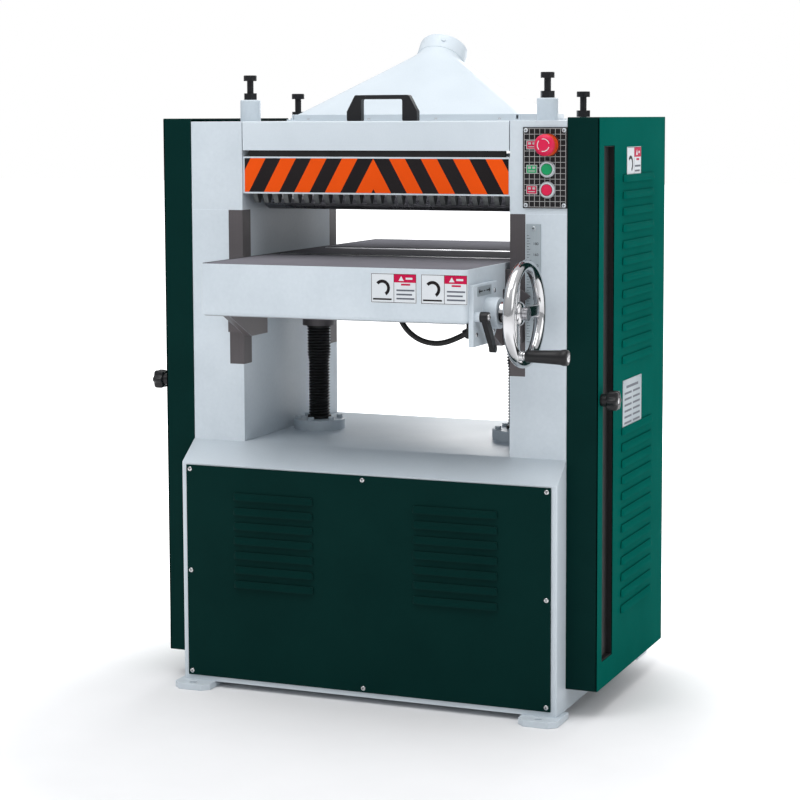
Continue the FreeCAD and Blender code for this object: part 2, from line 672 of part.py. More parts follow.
def lift_gear_housings():
    """Housings of the lead screw bevels, with the hangers of the shafts beside them."""
    parts = []
    plate = TABLE_Z - TABLE_T
    for side in (-1, 1):
        x = side * SCREW_X
        can = z_cyl(x, 0, CAN_BOTTOM, plate, CAN_R)
        can = can.cut(z_cyl(x, 0, CAN_BOTTOM + 6, plate - 6, CAN_R - CAN_WALL))
        can = can.fuse(z_cyl(x, 0, 786, plate, 24))
        can = can.cut(z_cyl(x, 0, CAN_BOTTOM - 1, SCREW_TOP + 2, SCREW_R + RUN))
        can = can.cut(x_cyl(-SCREW_X + 16, SCREW_X - 16, 0, SHAFT_Z, CROSS_R + RUN))
        parts.append(can)
    for y in (-280, -160):
        hanger = box(DRIVE_X - 16, DRIVE_X + 16, y - 6, y + 6, SHAFT_Z - 18, plate)
        parts.append(hanger.cut(y_cyl(DRIVE_X, y - 7, y + 7, SHAFT_Z, DRIVE_R + RUN)))
    hanger = box(-66, -54, -14, 14, SHAFT_Z - 14, plate)
    parts.append(hanger.cut(x_cyl(-67, -53, 0, SHAFT_Z, CROSS_R + RUN)))
    return Part.makeCompound(parts)


def lead_screw(side):
    """A lead screw with the bevel wheel that turns it."""
    x = side * SCREW_X
    small = 0.5 * SCREW_BEVEL
    screw = z_cyl(x, 0, SCREW_BOTTOM, SCREW_TOP, SCREW_R)
    bevel = Part.makeCone(
        SCREW_BEVEL - BEVEL_GAP, small - BEVEL_GAP, SCREW_BEVEL - small,
        V(x, 0, SHAFT_Z - SCREW_BEVEL), V(0, 0, 1))
    return screw.fuse(bevel)


def cross_shaft():
    """The shaft that links the two lead screws, with a bevel at each end."""
    shaft = x_cyl(-SCREW_X + 18, SCREW_X - 18, 0, SHAFT_Z, CROSS_R)
    small = SCREW_R + BEVEL_GAP + 0.2
    for side in (-1, 1):
        start = V(side * (SCREW_X - small), 0, SHAFT_Z)
        bevel = Part.makeCone(
            small - BEVEL_GAP, SCREW_BEVEL - BEVEL_GAP, SCREW_BEVEL - small,
            start, V(-side, 0, 0))
        shaft = shaft.fuse(bevel)
    return shaft.fuse(bevel_x(DRIVE_X, DRIVE_X + BEVEL, 0, SHAFT_Z, BEVEL))


def drive_shaft():
    """The shaft from the handwheel bevels back to the cross shaft."""
    shaft = y_cyl(DRIVE_X, WHEEL_Y + BEVEL - 2, -BEVEL + 2, SHAFT_Z, DRIVE_R)
    shaft = shaft.fuse(bevel_y(DRIVE_X, WHEEL_Y, WHEEL_Y + BEVEL, SHAFT_Z, BEVEL))
    return shaft.fuse(bevel_y(DRIVE_X, 0, -BEVEL, SHAFT_Z, BEVEL))


def wheel_gearbox():
    """Cover on the table's right face with the boss that carries the handwheel shaft."""
    plate = box(TABLE_X, 272, -412, -290, SHAFT_Z, 812)
    plate = plate.fuse(x_cyl(TABLE_X, 272, WHEEL_Y, SHAFT_Z, 55))
    plate = plate.fuse(box(TABLE_X, 272, -412, -336, SHAFT_Z - 55, SHAFT_Z))
    plate = plate.removeSplitter()
    boss = x_cyl(272, 296, WHEEL_Y, SHAFT_Z, 28)
    pad = x_cyl(272, 281, LEVER_Y, LEVER_Z, 9)
    housing = plate.fuse([boss, pad]).cut(x_cyl(TABLE_X - 1, 300, WHEEL_Y, SHAFT_Z, WHEEL_SHAFT_R + RUN))
    return housing.cut(x_cyl(266, 282, LEVER_Y, LEVER_Z, 4 + RUN))


def lock_lever():
    """Clamping lever: stud, hub and a long tapered arm."""
    stud = x_cyl(267, 282, LEVER_Y, LEVER_Z, 4)
    hub = x_cyl(281.5, 296, LEVER_Y, LEVER_Z, 9.5)
    arm = prism([
        (284, -407, 752), (284, -391, 760), (284, -350, 700), (284, -353, 690), (284, -361, 692)],
        (9, 0, 0))
    tip = x_cyl(283, 294, -356, 696, 7)
    return stud.fuse([hub, arm, tip]).removeSplitter()


def grip_centre():
    """Y and Z of the crank grip's axis on the rim."""
    lean = math.radians(GRIP_LEAN)
    return WHEEL_Y - GRIP_REACH * math.sin(lean), SHAFT_Z - GRIP_REACH * math.cos(lean)


def handwheel():
    """Handwheel with three spokes, hub and the spindle of its crank grip."""
    rim = Part.makeTorus(WHEEL_R, RIM_R, V(WHEEL_X, WHEEL_Y, SHAFT_Z), V(1, 0, 0))
    hub = x_cyl(298, 350, WHEEL_Y, SHAFT_Z, 22)
    wheel = rim.fuse(hub)
    for i in range(3):
        spoke = box(WHEEL_X - 5, WHEEL_X + 5, 10, WHEEL_R, -12, 12)
        spoke.rotate(V(WHEEL_X, 0, 0), V(1, 0, 0), 120 * i)
        spoke.translate(V(0, WHEEL_Y, SHAFT_Z))
        wheel = wheel.fuse(spoke)
    y, z = grip_centre()
    spindle = x_cyl(WHEEL_X, GRIP_X[1] - 0.5, y, z, 5)
    ferrule = x_cyl(WHEEL_X, GRIP_X[0] - 0.5, y, z, 9)
    return wheel.fuse([spindle, ferrule]).cut(x_cyl(297, 349, WHEEL_Y, SHAFT_Z, WHEEL_SHAFT_R))


def wheel_shaft():
    """Shaft from the handwheel into the table, with its bevel."""
    shaft = x_cyl(DRIVE_X + BEVEL - 1, 349, WHEEL_Y, SHAFT_Z, WHEEL_SHAFT_R)
    return shaft.fuse(bevel_x(DRIVE_X, DRIVE_X + BEVEL, WHEEL_Y, SHAFT_Z, BEVEL))


def crank_grip():
    """Tapered grip that turns on the handwheel's spindle."""
    y, z = grip_centre()
    grip = Part.makeCone(11, 14.5, GRIP_X[1] - GRIP_X[0], V(GRIP_X[0], y, z), V(1, 0, 0))
    grip = rounded(grip, 3.0, lambda e: abs(e.CenterOfMass.x - GRIP_X[1]) < 0.1)
    return grip.cut(x_cyl(GRIP_X[0] - 0.5, GRIP_X[1] - 0.4, y, z, 5 + RUN))


def conduit_path():
    """Centre line of the conduit: straight runs joined by tangent arcs, and the arc radii."""
    points = [V(*p) for p in CONDUIT_ROUTE]
    edges = []
    radii = []
    last = points[0]
    for before, corner, after in zip(points, points[1:], points[2:]):
        into = (corner - before).normalize()
        out = (after - corner).normalize()
        reach = 0.45 * min((corner - before).Length, (after - corner).Length)
        turn = into.getAngle(out)
        radii.append(reach / math.tan(turn / 2))
        start = corner - into * reach
        end = corner + out * reach
        bend = (out - into).normalize()
        middle = corner + bend * (radii[-1] / math.cos(turn / 2) - radii[-1])
        edges.append(Part.LineSegment(last, start).toShape())
        edges.append(Part.Arc(start, middle, end).toShape())
        last = end
    edges.append(Part.LineSegment(last, points[-1]).toShape())
    return Part.Wire(edges), radii


def conduit():
    """The flexible conduit as a plain tube along its route."""
    path, radii = conduit_path()
    start = V(*CONDUIT_ROUTE[0])
    ring = Part.Wire(Part.makeCircle(CONDUIT_R, start, V(*CONDUIT_ROUTE[1]) - start))
    tube = path.makePipeShell([ring], True, True)
    expected = math.pi * CONDUIT_R ** 2 * path.Length
    print("conduit radii", [round(r, 1) for r in radii])
    print("conduit length", round(path.Length, 1), "volume ratio", round(tube.Volume / expected, 4))
    return tube


def conduit_glands():
    """The two glands of the conduit: under the table top, and on a block below the gearbox."""
    start = V(*CONDUIT_ROUTE[0])
    up = (start - V(*CONDUIT_ROUTE[1])).normalize()
    collar = Part.makeCylinder(8, 16, start, up)
    nut = z_cyl(116, -388, 788, TABLE_Z - TABLE_T, 10)
    end = V(*CONDUIT_ROUTE[-1])
    onward = (end - V(*CONDUIT_ROUTE[-2])).normalize()
    sleeve = Part.makeCylinder(8, 16, end, onward)
    block = box(252, TABLE_X, -394, -370, 716, 743)
    return Part.makeCompound([collar.fuse(nut), sleeve.fuse(block)])


# ---- covers ----------------------------------------------------------------------------------
def side_door(side):
    """Full height door of one side: a pan with a sunk grip channel, louvers and hinge leaves."""
    door = side_box(side, DOOR_IN, DOOR_OUT, -HALF_D, HALF_D, DOOR_Z[0], DOOR_Z[1])
    door = rounded(door, 3.0, lambda e: abs(abs(e.CenterOfMass.x) - DOOR_OUT) < 0.1)
    inner = side_box(
        side, DOOR_IN - 1, DOOR_OUT - SHEET, -HALF_D + SHEET, HALF_D - SHEET,
        DOOR_Z[0] + SHEET, DOOR_Z[1] - SHEET)
    floor = DOOR_OUT - GROOVE_D
    pan = side_box(
        side, floor - SHEET, DOOR_OUT, GROOVE_Y[0] - SHEET, GROOVE_Y[1] + SHEET,
        GROOVE_Z[0] - SHEET, GROOVE_Z[1] + SHEET)
    channel = side_box(
        side, floor, DOOR_OUT + 1, GROOVE_Y[0], GROOVE_Y[1], GROOVE_Z[0], GROOVE_Z[1])
    door = door.cut(inner).fuse(pan).cut(channel)
    slots = []
    hoods = []
    for base in DOOR_LOUVER_Z:
        for row in range(DOOR_LOUVERS):
            z = base + 4 + row * LOUVER_PITCH
            outline = [
                (side * DOOR_OUT, DOOR_LOUVER_Y[0], z),
                (side * (DOOR_OUT + 4), DOOR_LOUVER_Y[0], z),
                (side * DOOR_OUT, DOOR_LOUVER_Y[0], z + 13)]
            hoods.append(prism(outline, (0, DOOR_LOUVER_Y[1] - DOOR_LOUVER_Y[0], 0)))
            slots.append(side_box(
                side, DOOR_OUT - SHEET - 1, DOOR_OUT + 2.5,
                DOOR_LOUVER_Y[0] + 3, DOOR_LOUVER_Y[1] - 3, z - 1, z + 4))
    door = door.fuse(hoods).cut(Part.makeCompound(slots))
    for z in HINGE_ZS:
        knuckle = z_cyl(side * HINGE_X, HINGE_Y, z + 0.3, z + 22, HINGE_R)
        leaf = side_box(side, HINGE_X + 3, HINGE_X + 38, HALF_D - 1, HALF_D + 4, z + 0.3, z + 22)
        door = door.fuse(knuckle.fuse(leaf))
        door = door.cut(z_cyl(side * HINGE_X, HINGE_Y, z - 1, z + 23, 3 + RUN))
    stem_hole = x_cyl(*sorted((side * (DOOR_OUT - 5), side * (DOOR_OUT + 1))), KNOB_Y, KNOB_Z, 5 + RUN)
    return door.cut(stem_hole)


def door_knob(side):
    """A lobed clamping knob on the side of a door."""
    xs = sorted((side * (DOOR_OUT + 12), side * (DOOR_OUT + 34)))
    knob = x_cyl(xs[0], xs[1], KNOB_Y, KNOB_Z, 20)
    for i in range(6):
        angle = math.radians(60 * i + 30)
        cy = KNOB_Y + 24 * math.cos(angle)
        cz = KNOB_Z + 24 * math.sin(angle)
        knob = knob.cut(x_cyl(xs[0] - 1, xs[1] + 1, cy, cz, 8))
    xs = sorted((side * (DOOR_OUT + 0.5), side * (DOOR_OUT + 13)))
    knob = knob.fuse(x_cyl(xs[0], xs[1], KNOB_Y, KNOB_Z, 12))
    xs = sorted((side * (DOOR_OUT - 9), side * (DOOR_OUT + 2)))
    return knob.fuse(x_cyl(xs[0], xs[1], KNOB_Y, KNOB_Z, 5)).removeSplitter()


def hinge_brackets():
    """Fixed hinge leaves with their pins: three for each door and two for the lid."""
    parts = []
    for side in (-1, 1):
        for z in HINGE_ZS:
            knuckle = z_cyl(side * HINGE_X, HINGE_Y, z - 22, z, HINGE_R)
            leaf = side_box(side, 350, DOOR_IN - 1, HALF_D, HALF_D + 4, z - 22, z)
            link = side_box(side, DOOR_IN - 2, HINGE_X, HALF_D + 1, HALF_D + 4, z - 22, z)
            pin = z_cyl(side * HINGE_X, HINGE_Y, z - 22, z + 20, 3)
            parts.append(knuckle.fuse([leaf, link, pin]))
    y, z = LID_AXIS
    for side in (-1, 1):
        knuckle = x_cyl(side * 180 - 15, side * 180 + 15, y, z, HINGE_R)
        leaf = box(side * 180 - 15, side * 180 + 15, 225, 229, 1000, z)
        spacer = box(side * 180 - 15, side * 180 + 15, 218, 226, 1000, 1030)
        xs = sorted((side * 180, side * 205))
        pin = x_cyl(xs[0], xs[1], y, z, 3)
        parts.append(knuckle.fuse([leaf, spacer, pin]))
    return Part.makeCompound(parts)


def lid_cover():
    """Hinged lid over the cutter: top, skirts, chip opening and hinge leaves."""
    lid = box(-LID_X, LID_X, -HALF_D, HALF_D, LID_FRONT_Z, HEAD_TOP)
    lid = rounded(lid, 2.5, lambda e: is_along(e, (1, 0, 0)) and e.CenterOfMass.z > HEAD_TOP - 1)
    lid = lid.cut(box(
        -LID_X + SHEET, LID_X - SHEET, -HALF_D + SHEET, HALF_D - SHEET,
        LID_FRONT_Z - 1, HEAD_TOP - SHEET))
    lid = lid.cut(box(-LID_X - 1, LID_X + 1, HALF_D - SHEET - 1, HALF_D + 1, LID_FRONT_Z - 1, 1075))
    lid = lid.cut(box(-225, 225, HOOD_Y[0] + 12, HOOD_Y[1] - 12, 1090, HEAD_TOP + 1))
    y, z = LID_AXIS
    for side in (-1, 1):
        xs = sorted((side * 195.3, side * 225))
        knuckle = x_cyl(xs[0], xs[1], y, z, HINGE_R)
        leaf = box(xs[0], xs[1], 213, y, HEAD_TOP - 1, HEAD_TOP + 3)
        lid = lid.fuse(knuckle.fuse(leaf))
        lid = lid.cut(x_cyl(side * 210 - 16, side * 210 + 16, y, z, 3 + RUN))
    return lid


def collar_axis():
    """Unit vector along the outlet collar, leaning to the rear."""
    tilt = math.radians(COLLAR_TILT)
    return V(0, math.sin(tilt), math.cos(tilt))


def hood_shell(shrink, drop, rise):
    """The tapering duct from a rectangle to the neck's circle, drawn in by a wall thickness."""
    steps = 32
    axis = collar_axis()
    across = V(1, 0, 0)
    back = axis.cross(across)
    mid_y = (HOOD_Y[0] + HOOD_Y[1]) / 2
    half = (HOOD_X - shrink, (HOOD_Y[1] - HOOD_Y[0]) / 2 - shrink)
    centre = V(*COLLAR_BASE) + axis * rise
    neck = COLLAR_R - 1.0 - shrink
    lower = []
    upper = []
    for i in range(steps):
        angle = 2 * math.pi * (i + 0.5) / steps
        cx = math.cos(angle)
        cy = math.sin(angle)
        reach = 1.0 / max(abs(cx), abs(cy))
        lower.append(V(half[0] * cx * reach, mid_y + half[1] * cy * reach, HOOD_Z - drop))
        upper.append(centre + across * (neck * cx) + back * (neck * cy))
    wires = [Part.makePolygon(ring + ring[:1]) for ring in (lower, upper)]
    return Part.makeLoft(wires, True, True)


def dust_hood():
    """Dust hood: base flange, tapering duct and the round outlet collar."""
    duct = hood_shell(0, 0, 0).cut(hood_shell(SHEET, 1, 1))
    flange = box(-HOOD_X - 8, HOOD_X + 8, HOOD_Y[0] - 8, HOOD_Y[1] + 4, HEAD_TOP + 0.2, HOOD_Z)
    flange = flange.cut(box(-225, 225, HOOD_Y[0] + 12, HOOD_Y[1] - 12, HEAD_TOP - 1, HOOD_Z + 1))
    axis = collar_axis()
    foot = V(*COLLAR_BASE) - axis * 0.5
    collar = Part.makeCylinder(COLLAR_R - 1.0, NECK_L + 1.0, foot, axis)
    collar = collar.fuse(Part.makeCylinder(
        COLLAR_R, COLLAR_L - NECK_L, V(*COLLAR_BASE) + axis * NECK_L, axis))
    bore = Part.makeCylinder(COLLAR_R - 1.0 - SHEET, COLLAR_L + 3, foot - axis, axis)
    return duct.fuse([flange, collar.cut(bore)])


def lid_handle():
    """Bow handle of the lid."""
    outer = [
        (-HANDLE_FOOT, 0), (-HANDLE_FOOT, 18), (-HANDLE_TOP, HANDLE_H), (HANDLE_TOP, HANDLE_H),
        (HANDLE_FOOT, 18), (HANDLE_FOOT, 0)]
    y0, y1 = HANDLE_Y
    bar = prism([(x, y0, HEAD_TOP + z) for x, z in outer], (0, y1 - y0, 0))
    gap = HANDLE_FOOT - 30
    return bar.cut(box(-gap, gap, y0 - 1, y1 + 1, HEAD_TOP - 1, HEAD_TOP + HANDLE_H - 8))


# ---- the assembly ----------------------------------------------------------------------------
def build():
    """Every sub-part by its node name."""
    return {
        "foot_plates": foot_plates(),
        "base_cabinet": base_cabinet(),
        "front_panel": base_panel(-1),
        "rear_panel": base_panel(1),
        "column_left": column(-1),
        "column_right": column(1),
        "guide_ways": guide_ways(),
        "head_box_left": head_box(-1),
        "head_box_right": head_box(1),
        "bearing_housings": bearing_housings(),
        "head_crossbars": head_crossbars(),
        "head_bars": head_bars(),
        "spring_bosses": spring_bosses(),
        "pressure_screw_front_left": pressure_screw(-1, -1),
        "pressure_screw_front_right": pressure_screw(1, -1),
        "pressure_screw_rear_left": pressure_screw(-1, 1),
        "pressure_screw_rear_right": pressure_screw(1, 1),
        "control_plate": control_plate(),
        "start_button": push_button(START_Z),
        "stop_button": push_button(STOP_Z),
        "emergency_stop": emergency_stop(),
        "scale_plate": scale_plate(),
        "nut_flanges": nut_flanges(),
        "bellows": bellows(),
        "main_motor": main_motor(),
        "motor_rotor": motor_rotor(),
        "drive_belts": drive_belts(),
        "cutter_block": cutter_block(),
        "cutter_pulley": cutter_pulley(),
        "infeed_roller": feed_roller(-ROLL_Y, 30),
        "outfeed_roller": feed_roller(ROLL_Y, 0),
        "feed_gearbox": feed_gearbox(),
        "feed_sprocket": feed_sprocket(),
        "feed_chain": feed_chain(),
        "kickback_fingers": kickback_fingers(),
        "table_casting": table_casting(),
        "gib_strips": gib_strips(),
        "bed_roller_front": bed_roller(-1),
        "bed_roller_rear": bed_roller(1),
        "lift_gear_housings": lift_gear_housings(),
        "lead_screw_left": lead_screw(-1),
        "lead_screw_right": lead_screw(1),
        "cross_shaft": cross_shaft(),
        "drive_shaft": drive_shaft(),
        "wheel_gearbox": wheel_gearbox(),
        "lock_lever": lock_lever(),
        "handwheel": handwheel(),
        "wheel_shaft": wheel_shaft(),
        "crank_grip": crank_grip(),
        "conduit": conduit(),
        "conduit_glands": conduit_glands(),
        "left_door": side_door(-1),
        "right_door": side_door(1),
        "door_knob_left": door_knob(-1),
        "door_knob_right": door_knob(1),
        "hinge_brackets": hinge_brackets(),
        "lid_cover": lid_cover(),
        "dust_hood": dust_hood(),
        "lid_handle": lid_handle(),
    }


os.makedirs("parts", exist_ok=True)
for node, shape in build().items():
    shape.exportStep("parts/" + node + ".step")
    print(node, "solids", len(shape.Solids), "valid", shape.isValid(), "cm3", round(shape.Volume / 1000))
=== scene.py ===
"""Thickness planer: finishes, covers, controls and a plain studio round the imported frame."""
import logging
import math
from collections.abc import Callable
from dataclasses import dataclass
from enum import Enum

import bmesh
import bpy
from mathutils import Matrix, Vector


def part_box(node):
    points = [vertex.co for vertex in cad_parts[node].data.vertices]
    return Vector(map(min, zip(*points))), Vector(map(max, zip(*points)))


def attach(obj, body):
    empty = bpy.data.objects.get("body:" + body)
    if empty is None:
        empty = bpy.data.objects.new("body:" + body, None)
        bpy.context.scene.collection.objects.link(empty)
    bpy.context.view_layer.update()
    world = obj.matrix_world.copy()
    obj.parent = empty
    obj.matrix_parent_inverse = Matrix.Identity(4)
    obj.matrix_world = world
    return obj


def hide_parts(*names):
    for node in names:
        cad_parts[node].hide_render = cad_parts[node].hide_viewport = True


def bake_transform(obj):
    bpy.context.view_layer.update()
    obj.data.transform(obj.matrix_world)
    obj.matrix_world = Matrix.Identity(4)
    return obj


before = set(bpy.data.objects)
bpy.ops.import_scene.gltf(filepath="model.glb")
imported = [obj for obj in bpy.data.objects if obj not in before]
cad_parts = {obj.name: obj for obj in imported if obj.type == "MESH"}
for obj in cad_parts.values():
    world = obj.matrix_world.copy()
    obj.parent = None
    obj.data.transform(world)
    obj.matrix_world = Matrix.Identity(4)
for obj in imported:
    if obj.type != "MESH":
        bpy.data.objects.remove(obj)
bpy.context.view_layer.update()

MM = 0.001
JOIN_DISTANCE = 0.002 * MM
Colour = tuple[float, float, float]
Outline = list[tuple[float, float]]
UP = Vector((0, 0, 1))
RIGHTWARD = Vector((1, 0, 0))
FORWARD = Vector((0, -1, 0))
log = logging.getLogger("planer")


def mm(*points: tuple[float, float]) -> Outline:
    """Points given in millimetres, turned into metres."""
    return [(a * MM, b * MM) for a, b in points]


def middle_of(name: str) -> Vector:
    """The middle of a CAD node's box."""
    low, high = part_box(name)
    return (low + high) / 2


class Tree:
    """Short calls for building a node tree."""

    def __init__(self, tree: bpy.types.NodeTree) -> None:
        """Work on one node tree."""
        self.nodes = tree.nodes
        self.link = tree.links.new

    def add(self, kind: str, values: dict[str | int, object] | None = None,
            **settings: object) -> bpy.types.Node:
        """Add a node.

        Args:
            kind: The node's type.
            values: Values of its input sockets, by name or number.
            settings: The node's own settings.

        Returns:
            The node.
        """
        node = self.nodes.new(kind)
        for setting, value in settings.items():
            setattr(node, setting, value)
        for socket, value in (values or {}).items():
            node.inputs[socket].default_value = value
        return node

    def map(self, source: bpy.types.NodeSocket, low: float, high: float, to_low: float = 0.0,
            to_high: float = 1.0, kind: str = "LINEAR") -> bpy.types.NodeSocket:
        """Map a value from one range to another.

        Args:
            source: The socket that gives the value.
            low: Start of the range it comes in.
            high: End of the range it comes in.
            to_low: What the start turns into.
            to_high: What the end turns into.
            kind: Way of interpolating.

        Returns:
            The socket that gives the mapped value.
        """
        node = self.add("ShaderNodeMapRange", {"From Min": low, "From Max": high,
                                               "To Min": to_low, "To Max": to_high},
                        interpolation_type=kind)
        self.link(source, node.inputs["Value"])
        return node.outputs[0]

    def mix(self, factor: bpy.types.NodeSocket, source: bpy.types.NodeSocket,
            colour: tuple[float, ...]) -> bpy.types.NodeSocket:
        """Mix a colour into another by a factor.

        Args:
            factor: The socket that gives the factor.
            source: The socket that gives the first colour.
            colour: The second colour.

        Returns:
            The socket that gives the mix.
        """
        node = self.add("ShaderNodeMix", data_type="RGBA")
        self.link(factor, node.inputs["Factor"])
        first, second = (socket for socket in node.inputs if socket.type == "RGBA")
        self.link(source, first)
        second.default_value = (*colour, 1.0)
        return next(socket for socket in node.outputs if socket.type == "RGBA")

    def ramp(self, source: bpy.types.NodeSocket, stops: tuple[float, float], first: Colour,
             second: Colour) -> bpy.types.NodeSocket:
        """Turn a value into a colour between two.

        Args:
            source: The socket that gives the value.
            stops: The values of the first and the second colour.
            first: The first colour.
            second: The second colour.

        Returns:
            The socket that gives the colour.
        """
        node = self.add("ShaderNodeValToRGB")
        for element, place, colour in zip(node.color_ramp.elements, stops, (first, second)):
            element.position = place
            element.color = (*colour, 1.0)
        self.link(source, node.inputs[0])
        return node.outputs[0]


# ---- finishes --------------------------------------------------------------------------------
class Grain(Enum):
    """The close-up texture of a finish: noise stretch along X, Y and Z, and noise detail."""

    PEEL = ((420.0, 420.0, 420.0), 2.0)
    CAST = ((150.0, 150.0, 150.0), 5.0)
    GROUND_Y = ((900.0, 9.0, 900.0), 3.0)
    GROUND_Z = ((900.0, 900.0, 9.0), 3.0)
    TURNED_X = ((1400.0, 6.0, 6.0), 2.0)
    TURNED_Z = ((6.0, 6.0, 1400.0), 2.0)
    MOULDED = ((900.0, 900.0, 900.0), 3.0)
    POLISHED = ((30.0, 30.0, 30.0), 2.0)


@dataclass(frozen=True)
class Finish:
    """A surface finish: two colours it drifts between, its gloss and its grain.

    spread is how far the roughness varies, depth the strength of the grain, cloud the scale of the
    drift, edge the strength of wear along edges, and shine the index of refraction less one. Below
    the height bare_and_shade_below the paint ends and bare iron shows, darkened with painted shade.
    """

    name: str
    colour: Colour
    drift: Colour
    roughness: float = 0.4
    spread: float = 0.06
    metallic: float = 0.0
    grain: Grain = Grain.PEEL
    depth: float = 0.05
    cloud: float = 7.0
    coat: float = 0.0
    edge: float = 0.0
    shine: float = 0.5
    # Below this height the colour turns to bare iron darkened with painted shade.
    bare_and_shade_below: float = 0.0
    bare_and_shade_blend: float = 1.5 * MM
    bare_iron_and_shade_colour: Colour = (0.105, 0.092, 0.094)
    worn_width: float = 2.2 * MM
    bump_height: float = 0.6 * MM
    coat_roughness: float = 0.12
    grain_share: float = 0.35

    def material(self) -> bpy.types.Material:
        """The finish as a node material, made once.

        Returns:
            The material, shared by every piece that wears this finish.
        """
        name = self.name + "_finish"
        known = bpy.data.materials.get(name)
        if known is not None:
            return known
        mat = bpy.data.materials.new(name)
        mat.use_nodes = True
        tree = Tree(mat.node_tree)
        shader = tree.nodes["Principled BSDF"]
        for socket, value in (("Metallic", self.metallic), ("Coat Weight", self.coat),
                              ("IOR", 1.0 + self.shine), ("Coat Roughness", self.coat_roughness)):
            shader.inputs[socket].default_value = value
        place = tree.add("ShaderNodeTexCoord").outputs["Object"]
        cloud = tree.add("ShaderNodeTexNoise", {"Scale": self.cloud, "Detail": 4.0})
        tree.link(place, cloud.inputs["Vector"])
        stretch, detail = self.grain.value
        stretched = tree.add("ShaderNodeVectorMath", {1: stretch}, operation="MULTIPLY")
        tree.link(place, stretched.inputs[0])
        fine = tree.add("ShaderNodeTexNoise", {"Scale": 1.0, "Detail": detail})
        tree.link(stretched.outputs[0], fine.inputs["Vector"])
        blend = tree.add("ShaderNodeMath", {1: self.grain_share}, operation="MULTIPLY_ADD")
        tree.link(fine.outputs[0], blend.inputs[0])
        tree.link(cloud.outputs[0], blend.inputs[2])
        colour = tree.ramp(blend.outputs[0], (0.45, 0.9), self.colour, self.drift)
        colour = self._worn(tree, self._bare_iron_and_shade(tree, colour, place))
        tree.link(colour, shader.inputs["Base Color"])
        gloss = tree.map(blend.outputs[0], 0.4, 0.95, max(0.02, self.roughness - self.spread),
                         self.roughness + self.spread)
        tree.link(gloss, shader.inputs["Roughness"])
        bump = tree.add("ShaderNodeBump", {"Strength": self.depth, "Distance": self.bump_height})
        tree.link(fine.outputs[0], bump.inputs["Height"])
        tree.link(bump.outputs[0], shader.inputs["Normal"])
        return mat

    def _bare_iron_and_shade(self, tree: Tree, source: bpy.types.NodeSocket,
              place: bpy.types.NodeSocket) -> bpy.types.NodeSocket:
        """Turn the colour to that of bare brown iron, darkened with painted shade, below a height.

        Args:
            tree: The material's node tree.
            source: The socket that gives the painted colour.
            place: The socket that gives the place in the object.

        Returns:
            The socket that gives the new colour.
        """
        if self.bare_and_shade_below <= 0.0:
            return source
        split = tree.add("ShaderNodeSeparateXYZ")
        tree.link(place, split.inputs[0])
        # Mask for the part below the height, which gets the bare-iron colour with painted shade.
        mask = tree.map(split.outputs["Z"], self.bare_and_shade_below + self.bare_and_shade_blend,
                        self.bare_and_shade_below - self.bare_and_shade_blend)
        return tree.mix(mask, source, self.bare_iron_and_shade_colour)

    def _worn(self, tree: Tree, source: bpy.types.NodeSocket) -> bpy.types.NodeSocket:
        """Make the colour a little lighter along edges.

        Args:
            tree: The material's node tree.
            source: The socket that gives the colour.

        Returns:
            The socket that gives the new colour.
        """
        if self.edge <= 0.0:
            return source
        geometry = tree.add("ShaderNodeNewGeometry")
        rounded = tree.add("ShaderNodeBevel", {"Radius": self.worn_width}, samples=4)
        dot = tree.add("ShaderNodeVectorMath", operation="DOT_PRODUCT")
        tree.link(geometry.outputs["Normal"], dot.inputs[0])
        tree.link(rounded.outputs[0], dot.inputs[1])
        mask = tree.map(dot.outputs["Value"], 0.99, 0.80, 0.0, self.edge)
        return tree.mix(mask, source, tuple(min(1.0, 1.3 * c + 0.02) for c in self.colour))


def flat_ink(name: str, colour: Colour, drift: Colour, roughness: float, shine: float) -> Finish:
    """A smooth printed or sprayed finish with little gloss.

    Args:
        name: Its name.
        colour: Its first colour.
        drift: Its second colour.
        roughness: Its roughness.
        shine: Its index of refraction less one.

    Returns:
        The finish.
    """
    return Finish(name, colour, drift, roughness, 0.05, depth=0.03, shine=shine)


def moulded(name: str, colour: Colour, drift: Colour, roughness: float) -> Finish:
    """A smooth coloured plastic.

    Args:
        name: Its name.
        colour: Its first colour.
        drift: Its second colour.
        roughness: Its roughness.

    Returns:
        The finish.
    """
    return Finish(name, colour, drift, roughness, 0.05, grain=Grain.MOULDED, depth=0.03, shine=0.35)


WHITE_PAINT = Finish("white_paint", (0.60, 0.66, 0.71), (0.54, 0.60, 0.65), 0.36, 0.05,
                     depth=0.05, edge=0.4, shine=0.40)
CAST_PAINT = Finish("white_cast_paint", (0.58, 0.64, 0.69), (0.50, 0.56, 0.61), 0.40, 0.06,
                    grain=Grain.CAST, depth=0.09, edge=0.4, shine=0.40)
# Under the table the paint gives way to dark bare iron, with painted shade mixed into its colour.
TABLE_PAINT = Finish("table_cast_paint", (0.58, 0.64, 0.69), (0.50, 0.56, 0.61), 0.40, 0.06,
                     grain=Grain.CAST, depth=0.09, edge=0.3, shine=0.40, bare_and_shade_below=0.7445)
GREEN_PAINT = Finish("green_paint", (0.0016, 0.0220, 0.0195), (0.0012, 0.0185, 0.0165), 0.42, 0.05,
                     depth=0.04, edge=0.20, shine=0.10)
